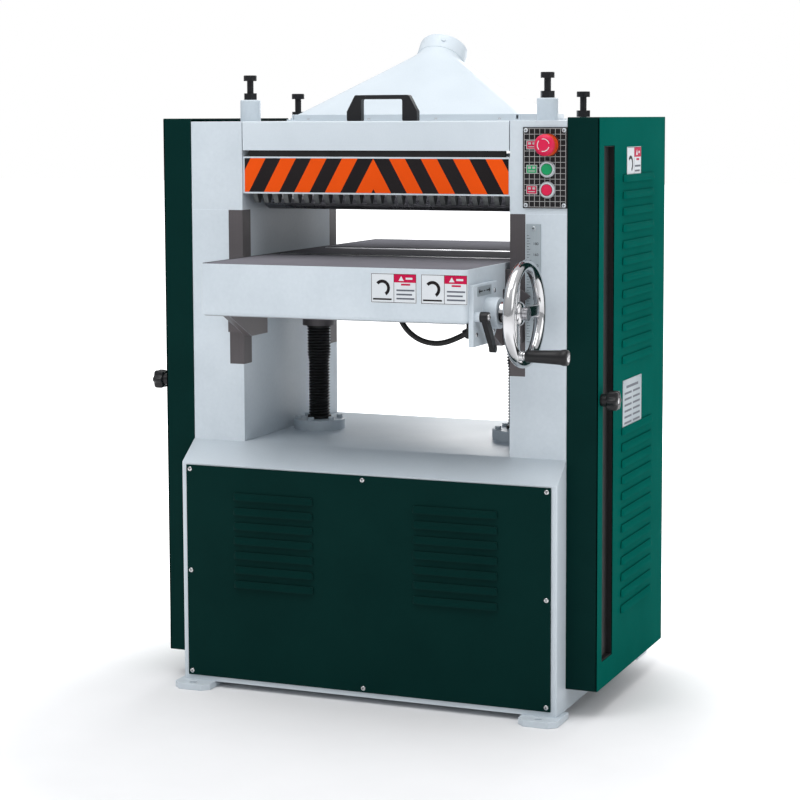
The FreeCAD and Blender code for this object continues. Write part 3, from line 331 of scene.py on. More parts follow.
# A much lighter copy of the green paint, as painted light on the doors' outer faces and louvers;
# their flanges keep the plain green.
DOOR_PAINTED_LIGHT_GREEN = Finish("door_painted_light_green", (0.0005, 0.104, 0.083), (0.0003, 0.089, 0.071), 0.60, 0.05,
                    depth=0.04, edge=0.10, shine=0.025)
GROUND_IRON = Finish("ground_table_iron", (0.185, 0.183, 0.206), (0.147, 0.145, 0.164), 0.78, 0.06,
                     0.08, Grain.GROUND_Y, 0.08, 5.0, shine=0.04)
WAY_STEEL = Finish("ground_way_steel", (0.092, 0.082, 0.087), (0.066, 0.059, 0.063), 0.48, 0.08,
                   0.35, Grain.GROUND_Z, 0.10, 9.0)
SHAFT_STEEL = Finish("turned_steel", (0.42, 0.42, 0.44), (0.30, 0.30, 0.32), 0.30, 0.08, 1.0,
                     Grain.TURNED_X, 0.10, 20.0)
FINGER_STEEL = Finish("finger_steel", (0.13, 0.14, 0.14), (0.08, 0.085, 0.085), 0.42, 0.08, 0.5,
                      Grain.CAST, 0.12, 30.0)
SCREW_STEEL = Finish("lead_screw_steel", (0.42, 0.42, 0.44), (0.30, 0.30, 0.32), 0.32, 0.08, 1.0,
                     Grain.TURNED_Z, 0.25, 20.0)
DARK_IRON = Finish("dark_cast_iron", (0.060, 0.058, 0.062), (0.035, 0.034, 0.037), 0.55, 0.08, 0.6,
                   Grain.CAST, 0.25, 14.0)
CHROME = Finish("polished_chrome", (0.62, 0.62, 0.63), (0.54, 0.54, 0.55), 0.10, 0.04, 1.0,
                Grain.POLISHED, 0.01, 12.0)
BLACK_PLASTIC = Finish("black_plastic", (0.012, 0.012, 0.014), (0.008, 0.008, 0.009), 0.36, 0.08,
                       grain=Grain.MOULDED, depth=0.08, cloud=20.0, shine=0.35)
BLACK_METAL = Finish("blacked_steel", (0.014, 0.014, 0.016), (0.008, 0.008, 0.009), 0.36, 0.08, 0.2,
                     Grain.CAST, 0.08, 20.0, shine=0.35)
RUBBER = Finish("black_rubber", (0.012, 0.012, 0.013), (0.008, 0.008, 0.008), 0.55, 0.10,
                grain=Grain.MOULDED, depth=0.20, cloud=25.0, shine=0.35)
PLATE_METAL = Finish("etched_aluminium", (0.40, 0.45, 0.48), (0.32, 0.37, 0.40), 0.45, 0.06, 0.45,
                     Grain.GROUND_Z, 0.05, 12.0)
SWITCH_BLACK = flat_ink("switch_plate_black", (0.010, 0.009, 0.010), (0.015, 0.013, 0.014), 0.32,
                        0.25)
STOP_RED = moulded("button_red", (0.66, 0.010, 0.070), (0.56, 0.008, 0.058), 0.32)
SKIRT_ORANGE = moulded("stop_skirt_orange", (0.68, 0.075, 0.012), (0.58, 0.060, 0.010), 0.34)
START_GREEN = moulded("button_green", (0.004, 0.32, 0.115), (0.003, 0.27, 0.095), 0.32)
BEZEL_GREY = Finish("bezel_grey", (0.56, 0.60, 0.63), (0.48, 0.52, 0.55), 0.30, 0.05, 0.3,
                    Grain.MOULDED, 0.03)
MOTOR_GREY = Finish("motor_grey", (0.12, 0.14, 0.16), (0.09, 0.105, 0.12), 0.42, 0.08,
                    grain=Grain.CAST, depth=0.20, coat=0.1)
VINYL_WHITE = Finish("label_white", (0.66, 0.69, 0.72), (0.60, 0.63, 0.66), 0.36, 0.05,
                     depth=0.03, shine=0.3)
INK_BLACK = flat_ink("ink_black", (0.012, 0.010, 0.011), (0.018, 0.015, 0.016), 0.42, 0.15)
INK_ORANGE = flat_ink("ink_orange", (0.80, 0.085, 0.005), (0.73, 0.074, 0.004), 0.42, 0.15)
INK_CRIMSON = flat_ink("ink_crimson", (0.52, 0.010, 0.065), (0.45, 0.008, 0.055), 0.42, 0.15)
INK_GREY = flat_ink("ink_grey", (0.13, 0.14, 0.17), (0.10, 0.11, 0.13), 0.45, 0.2)
INK_LINE = flat_ink("ink_pale_line", (0.42, 0.42, 0.42), (0.36, 0.36, 0.36), 0.45, 0.2)
FLOOR_WHITE = Finish("studio_floor", (0.83, 0.83, 0.84), (0.81, 0.81, 0.82), 0.85, 0.05, depth=0.0,
                     shine=0.1)


# ---- mesh tools ------------------------------------------------------------------------------
class Facing(Enum):
    """The way a flat piece looks: its right, up and outward directions."""

    FRONT = ((1, 0, 0), (0, 0, 1), (0, -1, 0))
    REAR = ((-1, 0, 0), (0, 0, 1), (0, 1, 0))
    RIGHT = ((0, 1, 0), (0, 0, 1), (1, 0, 0))
    LEFT = ((0, -1, 0), (0, 0, 1), (-1, 0, 0))
    TOP = ((1, 0, 0), (0, 1, 0), (0, 0, 1))


@dataclass(frozen=True)
class Plane:
    """A working plane: a facing and the point its measures start from."""

    facing: Facing
    origin: Vector

    @property
    def out(self) -> Vector:
        """The outward direction."""
        return Vector(self.facing.value[2])

    def at(self, u: float, v: float, w: float = 0.0) -> Vector:
        """The point u to the right, v up and w outward from the origin."""
        right, up, _ = (Vector(direction) for direction in self.facing.value)
        return self.origin + right * u + up * v + self.out * w


def plane_at(facing: Facing, place: float) -> Plane:
    """The working plane that faces one way, at a place along that axis."""
    return Plane(facing, Vector(place * abs(part) for part in facing.value[2]))


@dataclass(frozen=True)
class Rect:
    """A rectangle on a working plane."""

    left: float
    right: float
    low: float
    high: float

    def holds(self, u: float, v: float) -> bool:
        """True when the point lies inside."""
        return self.left < u < self.right and self.low < v < self.high

    def inset(self, by: float) -> "Rect":
        """The rectangle drawn in on all sides."""
        return Rect(self.left + by, self.right - by, self.low + by, self.high - by)

    def outline(self, radius: float = 0.0, steps: int = 5) -> Outline:
        """The corners in order, each rounded to the radius.

        Args:
            radius: Corner radius.
            steps: Points on each rounded corner.

        Returns:
            The outline, anticlockwise.
        """
        if radius <= 0.0:
            return [(self.left, self.low), (self.right, self.low),
                    (self.right, self.high), (self.left, self.high)]
        points = []
        for u, v, start in ((self.right, self.low, -90), (self.right, self.high, 0),
                            (self.left, self.high, 90), (self.left, self.low, 180)):
            cu = u - math.copysign(radius, u - (self.left + self.right) / 2)
            cv = v - math.copysign(radius, v - (self.low + self.high) / 2)
            for i in range(steps + 1):
                angle = math.radians(start + 90 * i / steps)
                points.append((cu + radius * math.cos(angle), cv + radius * math.sin(angle)))
        return points


class Shape:
    """A mesh that grows from prisms, turned profiles and curved sheets."""

    def __init__(self) -> None:
        """Start with nothing."""
        self.bm = bmesh.new()
        self.ink = 0

    def face(self, points: list[Vector]) -> None:
        """Add one face with its own corners."""
        made = self.bm.faces.new([self.bm.verts.new(p) for p in points])
        made.material_index = self.ink

    def prism(self, plane: Plane, outline: Outline, near: float, far: float) -> "Shape":
        """Add a solid that stands on a plane.

        Args:
            plane: The working plane.
            outline: Corners, anticlockwise seen from outside.
            near: Where it starts, measured outward.
            far: Where it ends.

        Returns:
            This shape.
        """
        low = [self.bm.verts.new(plane.at(u, v, near)) for u, v in outline]
        top = [self.bm.verts.new(plane.at(u, v, far)) for u, v in outline]
        made = [self.bm.faces.new(top), self.bm.faces.new(low[::-1])]
        for i in range(len(outline)):
            j = (i + 1) % len(outline)
            made.append(self.bm.faces.new((low[i], low[j], top[j], top[i])))
        for side in made:
            side.material_index = self.ink
        return self

    def lathe(self, centre: Vector, axis: Vector, profile: Outline, steps: int = 64,
              swell: Callable[[float], float] | None = None) -> "Shape":
        """Turn a profile round an axis.

        Args:
            centre: The point that the profile's distances start from.
            axis: Direction of the axis.
            profile: Distance along the axis and radius, from one end to the other.
            steps: Segments round the axis.
            swell: Factor on the radius at an angle, for lobes.

        Returns:
            This shape.
        """
        axis = axis.normalized()
        side = axis.orthogonal().normalized()
        if abs(axis.x) > 0.9:
            side = Vector((0, 1, 0))
        other = axis.cross(side)
        rings = []
        for along, radius in profile:
            point = centre + axis * along
            if radius < 1e-7:
                rings.append([self.bm.verts.new(point)])
                continue
            ring = []
            for i in range(steps):
                angle = 2 * math.pi * i / steps
                reach = radius * (swell(angle) if swell else 1.0)
                ring.append(self.bm.verts.new(
                    point + side * (reach * math.cos(angle)) + other * (reach * math.sin(angle))))
            rings.append(ring)
        for first, second in zip(rings, rings[1:]):
            for i in range(steps):
                j = (i + 1) % steps
                corners = [first[i % len(first)], first[j % len(first)],
                           second[j % len(second)], second[i % len(second)]]
                unique = list(dict.fromkeys(corners))
                if len(unique) > 2:
                    self.bm.faces.new(unique).material_index = self.ink
        return self

    def tube(self, path: list[Vector], radius: float, steps: int = 24) -> "Shape":
        """Add a closed ring of round section along a closed path.

        Args:
            path: Points of the closed centre line.
            radius: Radius of the section.
            steps: Segments round the section.

        Returns:
            This shape.
        """
        middle = sum(path, Vector()) / len(path)
        rings = []
        for i, point in enumerate(path):
            along = (path[(i + 1) % len(path)] - path[i - 1]).normalized()
            out = (point - middle).normalized()
            up = along.cross(out).normalized()
            turns = [2 * math.pi * k / steps for k in range(steps)]
            rings.append([self.bm.verts.new(point + out * (radius * math.cos(turn))
                                            + up * (radius * math.sin(turn))) for turn in turns])
        for i, ring in enumerate(rings):
            after = rings[(i + 1) % len(rings)]
            for k in range(steps):
                m = (k + 1) % steps
                self.bm.faces.new((ring[k], ring[m], after[m], after[k])).material_index = self.ink
        return self

    def sheet(self, point: Callable[[float, float], Vector], across: int, down: int,
              closed: bool = False) -> "Shape":
        """Add a curved sheet.

        Args:
            point: The surface point at two parameters from 0 to 1.
            across: Cells along the first parameter.
            down: Cells along the second parameter.
            closed: True when the first parameter runs round to its start.

        Returns:
            This shape.
        """
        columns = across if closed else across + 1
        grid = [[self.bm.verts.new(point(i / across, j / down)) for i in range(columns)]
                for j in range(down + 1)]
        for j in range(down):
            for i in range(across):
                k = (i + 1) % columns
                made = self.bm.faces.new((grid[j][i], grid[j][k], grid[j + 1][k], grid[j + 1][i]))
                made.material_index = self.ink
        return self

    def pierced(self, plane: Plane, rect: Rect, holes: list[Rect], level: float = 0.0) -> "Shape":
        """Add a flat sheet with rectangular holes, as clean four-sided cells.

        Args:
            plane: The working plane.
            rect: The sheet's outline.
            holes: The openings in it.
            level: Height of the sheet over the plane.

        Returns:
            This shape.
        """
        us = sorted({rect.left, rect.right, *(h.left for h in holes), *(h.right for h in holes)})
        vs = sorted({rect.low, rect.high, *(h.low for h in holes), *(h.high for h in holes)})
        for u0, u1 in zip(us, us[1:]):
            for v0, v1 in zip(vs, vs[1:]):
                if not any(h.holds((u0 + u1) / 2, (v0 + v1) / 2) for h in holes):
                    self.face([plane.at(u0, v0, level), plane.at(u1, v0, level),
                               plane.at(u1, v1, level), plane.at(u0, v1, level)])
        return self

    def walls(self, plane: Plane, rect: Rect, top: float, bottom: float) -> "Shape":
        """Add the four walls that drop from a rectangle's edges.

        Args:
            plane: The working plane.
            rect: The rectangle.
            top: Height of the walls' upper edges over the plane.
            bottom: Height of their lower edges.

        Returns:
            This shape.
        """
        corners = rect.outline()
        for (u0, v0), (u1, v1) in zip(corners, corners[1:] + corners[:1]):
            self.face([plane.at(u0, v0, bottom), plane.at(u1, v1, bottom),
                       plane.at(u1, v1, top), plane.at(u0, v0, top)])
        return self

    def weld(self) -> "Shape":
        """Join corners that lie on each other."""
        bmesh.ops.remove_doubles(self.bm, verts=self.bm.verts, dist=JOIN_DISTANCE)
        return self

    def piece(self, name: str, finishes: list[Finish], crease: float = 35.0, bevel: float = 0.0,
              wall: float = 0.0, recalc: bool = True) -> bpy.types.Object:
        """Turn the shape into an object.

        Args:
            name: The piece's name.
            finishes: Finishes, in the order of the ink numbers.
            crease: Angle in degrees above which an edge stays sharp.
            bevel: Width of the rounded edges, or 0.
            wall: Thickness given to an open sheet, inward, or 0.
            recalc: True to turn all faces outward.

        Returns:
            The new object.
        """
        if recalc:
            bmesh.ops.recalc_face_normals(self.bm, faces=self.bm.faces)
        mesh = bpy.data.meshes.new(name)
        self.bm.to_mesh(mesh)
        self.bm.free()
        mesh.shade_smooth()
        mesh.set_sharp_from_angle(angle=math.radians(crease))
        piece = bpy.data.objects.new(name, mesh)
        bpy.context.scene.collection.objects.link(piece)
        for finish in finishes:
            mesh.materials.append(finish.material())
        if bevel > 0.0:
            add_bevel(piece, bevel)
        if wall > 0.0:
            solid = piece.modifiers.new("thickness", "SOLIDIFY")
            solid.thickness = wall
            solid.offset = -1.0
            solid.use_even_offset = True
            add_smoothing(piece)
        return piece


def add_bevel(piece: bpy.types.Object, width: float) -> None:
    """Round the sharp edges of a piece.

    Args:
        piece: The piece.
        width: Width of the rounding.
    """
    bevel = piece.modifiers.new("rounded_edges", "BEVEL")
    bevel.width = width
    bevel.segments = 3
    bevel.limit_method = "ANGLE"
    bevel.angle_limit = math.radians(40)
    bevel.harden_normals = True


def add_smoothing(piece: bpy.types.Object) -> None:
    """Shade a piece smooth with sharp edges by angle and flat faces kept flat.

    Args:
        piece: The piece.
    """
    piece.modifiers.new("smooth", "NODES").node_group = smooth_group()
    piece.modifiers.new("face_normals", "WEIGHTED_NORMAL").keep_sharp = True


def smooth_group() -> bpy.types.NodeTree:
    """The node group that shades a mesh smooth, with sharp edges by angle.

    Returns:
        The group, made once.
    """
    known = bpy.data.node_groups.get("smooth_by_angle")
    if known is not None:
        return known
    group = bpy.data.node_groups.new("smooth_by_angle", "GeometryNodeTree")
    for direction in ("INPUT", "OUTPUT"):
        group.interface.new_socket("Geometry", in_out=direction, socket_type="NodeSocketGeometry")
    tree = Tree(group)
    start = tree.add("NodeGroupInput")
    end = tree.add("NodeGroupOutput")
    drop = tree.add("GeometryNodeRemoveAttribute", {"Name": "custom_normal"})
    soft = tree.add("GeometryNodeSetShadeSmooth", domain="FACE")
    sharp = tree.add("GeometryNodeSetShadeSmooth", {"Shade Smooth": False}, domain="EDGE")
    angle = tree.add("GeometryNodeInputMeshEdgeAngle")
    steep = tree.add("ShaderNodeMath", {1: math.radians(38)}, operation="GREATER_THAN")
    tree.link(start.outputs[0], drop.inputs["Geometry"])
    tree.link(drop.outputs[0], soft.inputs["Geometry"])
    tree.link(soft.outputs[0], sharp.inputs["Geometry"])
    tree.link(angle.outputs["Unsigned Angle"], steep.inputs[0])
    tree.link(steep.outputs[0], sharp.inputs["Selection"])
    tree.link(sharp.outputs[0], end.inputs[0])
    return group


def fit(piece: bpy.types.Object, body: str, replaced: tuple[str, ...] = ()) -> None:
    """Put a finished piece on its body.

    Args:
        piece: The piece.
        body: Name of the CAD body that it moves with.
        replaced: CAD nodes that the piece stands for.
    """
    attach(piece, body)
    if replaced:
        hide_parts(*replaced)
    log.info("%s rides on %s", piece.name, body)


def clip(outline: Outline, keep: Callable[[float, float], float]) -> Outline:
    """The part of a polygon where a linear measure is not negative.

    Args:
        outline: Corners in order.
        keep: The measure at a point.

    Returns:
        The clipped corners.
    """
    result = []
    for first, second in zip(outline, outline[1:] + outline[:1]):
        a, b = keep(*first), keep(*second)
        if a >= 0:
            result.append(first)
        if a * b < 0:
            t = a / (a - b)
            result.append(tuple(p + t * (q - p) for p, q in zip(first, second)))
    return result


def screw_head(shape: Shape, plane: Plane, u: float, v: float, radius: float) -> None:
    """Add a domed screw head in ink 0 with a black cross in ink 1 that stands in as painted shade
    for the cross recess.

    Args:
        shape: The shape it is added to.
        plane: The face it sits on.
        u: Place to the right.
        v: Place up.
        radius: Head radius.
    """
    height = 0.45 * radius
    profile = [(0.0, radius), (0.3 * height, radius)]
    for i in range(1, 6):
        angle = math.radians(18 * i)
        profile.append((0.3 * height + 0.7 * height * math.sin(angle), radius * math.cos(angle)))
    profile[-1] = (height, 0.0)
    shape.lathe(plane.at(u, v), plane.out, [(0.0, 0.0)] + profile, 24)
    # The black cross is painted shade standing in for the cross recess.
    shape.ink = 1
    arm, half = 0.55 * radius, 0.10 * radius
    for across, tall in ((arm, half), (half, arm)):
        shape.prism(plane, Rect(u - across, u + across, v - tall, v + tall).outline(),
                    0.82 * height, 1.02 * height)
    shape.ink = 0


def add_screws(name: str, plane: Plane, places: Outline, radius: float, body: str,
               metal: Finish | None = None) -> None:
    """Make a set of equal screws as one piece.

    Args:
        name: The piece's name.
        plane: The face they sit on.
        places: Where they sit.
        radius: Head radius.
        body: Name of the CAD body that they move with.
        metal: Finish of the heads, or nothing for chrome.
    """
    shape = Shape()
    for u, v in places:
        screw_head(shape, plane, u, v, radius)
    fit(shape.piece(name, [metal or CHROME, INK_BLACK]), body)


# ---- louvers and pressed sheets --------------------------------------------------------------
@dataclass(frozen=True)
class LouverBank:
    """A stack of pressed louvers in a sheet."""

    left: float
    right: float
    low: float
    pitch: float
    rows: int
    height: float = 13 * MM
    rise: float = 3.9 * MM
    taper: float = 11 * MM

    def holes(self) -> list[Rect]:
        """The openings under the louvers."""
        return [Rect(self.left, self.right, self.low + i * self.pitch,
                     self.low + i * self.pitch + self.height) for i in range(self.rows)]

    def press(self, shape: Shape, plane: Plane) -> None:
        """Add the hoods over the openings.

        Args:
            shape: The sheet's shape.
            plane: The sheet's outer face.
        """
        for hole in self.holes():
            shape.sheet(lambda s, t, h=hole: self._hood(plane, h, s, t), 40, 8)

    def _hood(self, plane: Plane, hole: Rect, s: float, t: float) -> Vector:
        """A point of one hood.

        Args:
            plane: The sheet's outer face.
            hole: The opening under the hood.
            s: Place along the louver, 0 to 1.
            t: Place down the louver, 0 to 1.

        Returns:
            The point.
        """
        even = 0.5 - 0.5 * math.cos(math.pi * s)
        s = 0.5 * (s + even)
        length = hole.right - hole.left
        near_end = min(s, 1.0 - s) * length / self.taper
        end = math.sqrt(max(0.0, 1.0 - (1.0 - min(1.0, near_end)) ** 2))
        lift = self.rise * end * math.sin(t * math.pi / 2) ** 1.15
        return plane.at(hole.left + s * length, hole.high - t * (hole.high - hole.low), lift)


@dataclass
class StandPanels:
    """The two screwed panels of the base, each with two banks of louvers."""

    bank_near: float = 104 * MM
    bank_far: float = 268 * MM
    bank_low: float = 203 * MM
    pitch: float = 28.5 * MM
    rows: int = 7
    screw_radius: float = 4.6 * MM
    margin: float = 8 * MM
    proud: float = 4 * MM

    def build(self) -> None:
        """Make the front and rear panels and their screws."""
        for node, facing in (("front_panel", Facing.FRONT), ("rear_panel", Facing.REAR)):
            low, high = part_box(node)
            face = low.y + self.proud if facing is Facing.FRONT else high.y - self.proud
            plane = plane_at(facing, face)
            rect = Rect(low.x, high.x, low.z, high.z)
            banks = [LouverBank(left, right, self.bank_low, self.pitch, self.rows)
                     for left, right in ((self.bank_near, self.bank_far),
                                         (-self.bank_far, -self.bank_near))]
            shape = Shape()
            shape.pierced(plane, rect, [hole for bank in banks for hole in bank.holes()]).weld()
            for bank in banks:
                bank.press(shape, plane)
            panel = shape.piece(node + "_pressed", [GREEN_PAINT], wall=2.9 * MM, recalc=False)
            fit(panel, "frame", (node,))
            self._screws(node, plane, rect)

    def _screws(self, node: str, plane: Plane, rect: Rect) -> None:
        """Add the panel's screws.

        Args:
            node: Name of the panel's node.
            plane: Its outer face.
            rect: Its outline.
        """
        side = rect.right - self.margin
        middle = (rect.low + rect.high) / 2
        places = [(u, v) for v in (rect.high - self.margin, middle, rect.low + self.margin)
                  for u in (-side, 0, side) if (u, v) != (0, middle)]
        add_screws(node + "_screws", plane, places, self.screw_radius, "frame")


HINGE_KNUCKLE = mm((0, 3.1), (0, 5.4), (0.6, 6), (21.1, 6), (21.7, 5.4), (21.7, 3.1), (0, 3.1))
KNOB_LOBES = mm((0, 6.5), (0, 13), (1.2, 15.6), (3.4, 17.2), (8, 17.6), (16, 17.4), (19.5, 16),
                (21, 13))
KNOB_NECK = mm((21, 13.4), (21.2, 12), (33, 11.5), (33.4, 10.8), (33.4, 5.2), (42, 5), (42, 0))
KNOB_CAP = mm((0.3, 0), (0.35, 4.5), (0.9, 6.4), (2.2, 6.6), (2.2, 0))


class Side(Enum):
    """Which side of the machine a door is on."""

    LEFT = -1
    RIGHT = 1


@dataclass
class SideDoor:
    """A full-height pan door with a sunk grip channel, two louver banks, hinges and a knob."""

    side: Side
    channel: Rect = Rect(-192 * MM, -126 * MM, 101 * MM, 1054 * MM)
    channel_depth: float = 12 * MM
    louver_left: float = -72 * MM
    louver_right: float = 133 * MM
    louver_lows: tuple[float, float] = (168 * MM, 644 * MM)
    louver_pitch: float = 31 * MM
    louver_rows: int = 12
    hinge_heights: tuple[float, float, float] = (540 * MM, 780 * MM, 1020 * MM)
    hinge_x: float = 389 * MM
    hinge_y: float = 229 * MM
    proud: float = 4 * MM
    rear: float = 222 * MM

    @property
    def name(self) -> str:
        """The door's node and body name."""
        return "left_door" if self.side is Side.LEFT else "right_door"

    def _flip(self, rect: Rect) -> Rect:
        """Measure a rectangle on the door's own plane.

        Args:
            rect: The rectangle, given front to rear.

        Returns:
            The same rectangle as the plane measures it.
        """
        if self.side is Side.RIGHT:
            return rect
        return Rect(-rect.right, -rect.left, rect.low, rect.high)

    def build(self) -> None:
        """Make the door with its hinges, the painted-shade strip in its channel, and its knob."""
        sign = self.side.value
        low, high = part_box(self.name)
        face = sign * (max(abs(low.x), abs(high.x)) - self.proud)
        facing = Facing.RIGHT if self.side is Side.RIGHT else Facing.LEFT
        plane = plane_at(facing, face)
        depth = abs(face) - min(abs(low.x), abs(high.x))
        rect = self._flip(Rect(low.y, self.rear, low.z, high.z))
        channel = self._flip(self.channel)
        span = self._flip(Rect(self.louver_left, self.louver_right, 0, 1))
        banks = [LouverBank(span.left, span.right, z, self.louver_pitch, self.louver_rows)
                 for z in self.louver_lows]
        shape = Shape()
        shape.pierced(plane, rect, [channel] + [h for bank in banks for h in bank.holes()])
        shape.ink = 1
        shape.walls(plane, rect, 0.0, -depth)
        shape.pierced(plane, channel, [], -self.channel_depth)
        deep = -self.channel_depth
        inner = channel.outline()
        for (u0, v0), (u1, v1) in zip(inner, inner[1:] + inner[:1]):
            shape.face([plane.at(u1, v1, deep), plane.at(u0, v0, deep),
                        plane.at(u0, v0, 0.0), plane.at(u1, v1, 0.0)])
        shape.weld()
        shape.ink = 0
        for bank in banks:
            bank.press(shape, plane)
        # Outer skin in the lighter green copy, which is painted light; walls and channel in the
        # plain green.
        door = shape.piece(self.name + "_pan", [DOOR_PAINTED_LIGHT_GREEN, GREEN_PAINT], wall=2.4 * MM,
                           bevel=2.6 * MM, recalc=False)
        fit(door, self.name, (self.name,))
        self._hinges(sign)
        self._channel_shade_strip(plane, channel)
        DoorKnob(self.side).build()

    def _hinges(self, sign: int) -> None:
        """Add the three hinge leaves with their knuckles.

        Args:
            sign: 1 for the right door, -1 for the left.
        """
        shape = Shape()
        leaf = plane_at(Facing.REAR, 221.8 * MM)
        for z in self.hinge_heights:
            foot = z + 0.3 * MM
            shape.lathe(Vector((sign * self.hinge_x, self.hinge_y, foot)), UP, HINGE_KNUCKLE, 32)
            near, far = sorted((sign * -392 * MM, sign * -427 * MM))
            shape.prism(leaf, Rect(near, far, foot, z + 22 * MM).outline(2 * MM), 0.0, 3.8 * MM)
        fit(shape.piece(self.name + "_hinges", [GREEN_PAINT]), self.name)

    def _channel_shade_strip(self, plane: Plane, channel: Rect) -> None:
        """Line the grip channel with a black strip that stands in as painted shade in the recess.

        Args:
            plane: The door's outer face.
            channel: The channel's outline.
        """
        shape = Shape()
        inset = channel.inset(1.2 * MM)
        floor = -self.channel_depth + 1.2 * MM
        shape.pierced(plane, inset, [], floor)
        shape.walls(plane, inset, -1.5 * MM, floor).weld()
        # The black strip is painted shade for the deep channel.
        lining = shape.piece(self.name + "_grip_shade_strip", [RUBBER], wall=0.8 * MM, recalc=False)
        fit(lining, self.name)


@dataclass
class DoorKnob:
    """A six-lobed clamping knob with a bright cap."""

    side: Side
    lobe: float = 0.12

    def build(self) -> None:
        """Make the knob and its cap."""
        name = "door_knob_left" if self.side is Side.LEFT else "door_knob_right"
        low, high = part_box(name)
        sign = self.side.value
        place = middle_of(name)
        place.x = sign * max(abs(low.x), abs(high.x))
        axis = Vector((-sign, 0, 0))
        shape = Shape()
        shape.lathe(place, axis, KNOB_LOBES, 96, lambda a: 1.0 + self.lobe * math.cos(6 * a))
        shape.lathe(place, axis, KNOB_NECK, 48)
        fit(shape.piece(name + "_lobed", [BLACK_PLASTIC]), name, (name,))
        cap = Shape()
        cap.lathe(place, axis, KNOB_CAP, 40)
        fit(cap.piece(name + "_cap", [CHROME]), name)


# ---- labels ----------------------------------------------------------------------------------
ARC_POINTS = 25
RIVET = mm((0, 2), (0.5, 1.7), (0.9, 0.9), (1, 0))


@dataclass
class SafetyLabel:
    """A generic printed label: a symbol field beside a header band and plain bars."""

    name: str
    plane: Plane
    rect: Rect
    body: str
    thickness: float = 0.35 * MM
    ink_step: float = 0.12 * MM

    def build(self) -> None:
        """Make the label."""
        shape = Shape()
        shape.prism(self.plane, self.rect.outline(2 * MM), 0.0, self.thickness)
        r = self.rect
        width = r.right - r.left
        tall = r.high - r.low
        line = 0.8 * MM
        split = r.left + 0.50 * width
        shape.ink = 1
        for bar in (Rect(r.left + line, r.right - line, r.low + line, r.low + 2 * line),
                    Rect(r.left + line, r.right - line, r.high - 2 * line, r.high - line),
                    Rect(r.left + line, r.left + 2 * line, r.low + line, r.high - line),
                    Rect(r.right - 2 * line, r.right - line, r.low + line, r.high - line),
                    Rect(split, split + line, r.low + line, r.high - line)):
            self._bar(shape, bar)
        centre = (r.left + 0.25 * width, r.low + 0.50 * tall)
        size = 0.34 * min(0.5 * width, tall)
        shape.prism(self.plane, self._ring_slice(centre, size, -60, 200), 0.0,
                    self.thickness + self.ink_step)
        self._bar(shape, Rect(centre[0] - 1.2 * size, centre[0] + 1.2 * size,
                              centre[1] - 1.42 * size, centre[1] - 1.22 * size))
        for i in range(3):
            row = r.low + (0.13 + 0.14 * i) * tall
            self._bar(shape, Rect(split + 0.06 * width, r.right - (0.05 + 0.05 * (i % 2)) * width,
                                  row, row + 0.055 * tall), 2)
        self._bar(shape, Rect(split + 0.16 * width, split + 0.36 * width, r.low + 0.60 * tall,
                              r.low + 0.66 * tall), 3)
        band = Rect(split + line, r.right - 2 * line, r.low + 0.70 * tall, r.high - 2 * line)
        self._bar(shape, band, 3)
        shape.ink = 0
        side = 0.30 * (band.high - band.low)
        middle = (band.low + band.high) / 2
        left = band.left + 3.2 * side
        triangle = [(left - 1.2 * side, middle - side), (left + 1.2 * side, middle - side),
                    (left, middle + side)]
        shape.prism(self.plane, triangle, 0.0, self.thickness + 2 * self.ink_step)
        self._bar(shape, Rect(left + 2 * side, band.right - 1.5 * side, middle - 0.4 * side,
                              middle + 0.4 * side), 0, 2)
        fit(shape.piece(self.name, [VINYL_WHITE, INK_BLACK, INK_GREY, INK_CRIMSON]), self.body)

    def _bar(self, shape: Shape, rect: Rect, ink: int = 1, layer: int = 1) -> None:
        """Print one bar.

        Args:
            shape: The label's shape.
            rect: The bar.
            ink: Its ink number.
            layer: How many ink steps it stands over the label.
        """
        shape.ink = ink
        shape.prism(self.plane, rect.outline(), 0.0, self.thickness + layer * self.ink_step)

    @staticmethod
    def _ring_slice(centre: tuple[float, float], size: float, start: float, turn: float) -> Outline:
        """A thick arc.

        Args:
            centre: Its centre.
            size: Its outer radius.
            start: First angle in degrees.
            turn: Angle it covers in degrees.

        Returns:
            The outline.
        """
        outer, inner = [], []
        for i in range(ARC_POINTS):
            angle = math.radians(start + turn * i / (ARC_POINTS - 1))
            c, d = math.cos(angle), math.sin(angle)
            for side, reach in ((outer, size), (inner, 0.62 * size)):
                side.append((centre[0] + reach * c, centre[1] + reach * d))
        return outer + inner[::-1]


@dataclass
class DataPlate:
    """A riveted metal plate with plain dark bars in rows."""

    plane: Plane
    rect: Rect
    body: str
    rows: int = 7
    thickness: float = 1.0 * MM

    def build(self) -> None:
        """Make the plate, its rows and its rivets."""
        shape = Shape()
        shape.prism(self.plane, self.rect.outline(2 * MM), 0.0, self.thickness)
        inner = self.rect.inset(9 * MM)
        wide = inner.right - inner.left
        tall = (inner.high - inner.low) / self.rows
        bars = [Rect(inner.left + 14 * MM, inner.right - 14 * MM, inner.high - 0.7 * tall,
                     inner.high - 0.25 * tall)]
        for i in range(self.rows - 1):
            low = inner.low + i * tall
            bars += [Rect(inner.left + left * wide, inner.left + right * wide, low + 0.30 * tall,
                          low + 0.66 * tall) for left, right in ((0.02, 0.46), (0.54, 0.98))]
        shape.ink = 1
        for bar in bars:
            shape.prism(self.plane, bar.outline(), 0.9 * MM, 1.12 * MM)
        shape.ink = 0
        for u, v in self.rect.inset(4.5 * MM).outline():
            shape.lathe(self.plane.at(u, v, self.thickness), self.plane.out, RIVET, 20)
        fit(shape.piece("data_plate", [PLATE_METAL, INK_GREY]), self.body)


# ---- head ------------------------------------------------------------------------------------
CLAMP_SCREW = mm((0, 0), (0, 5), (2.2, 4.6), (3.2, 3), (3.4, 0))


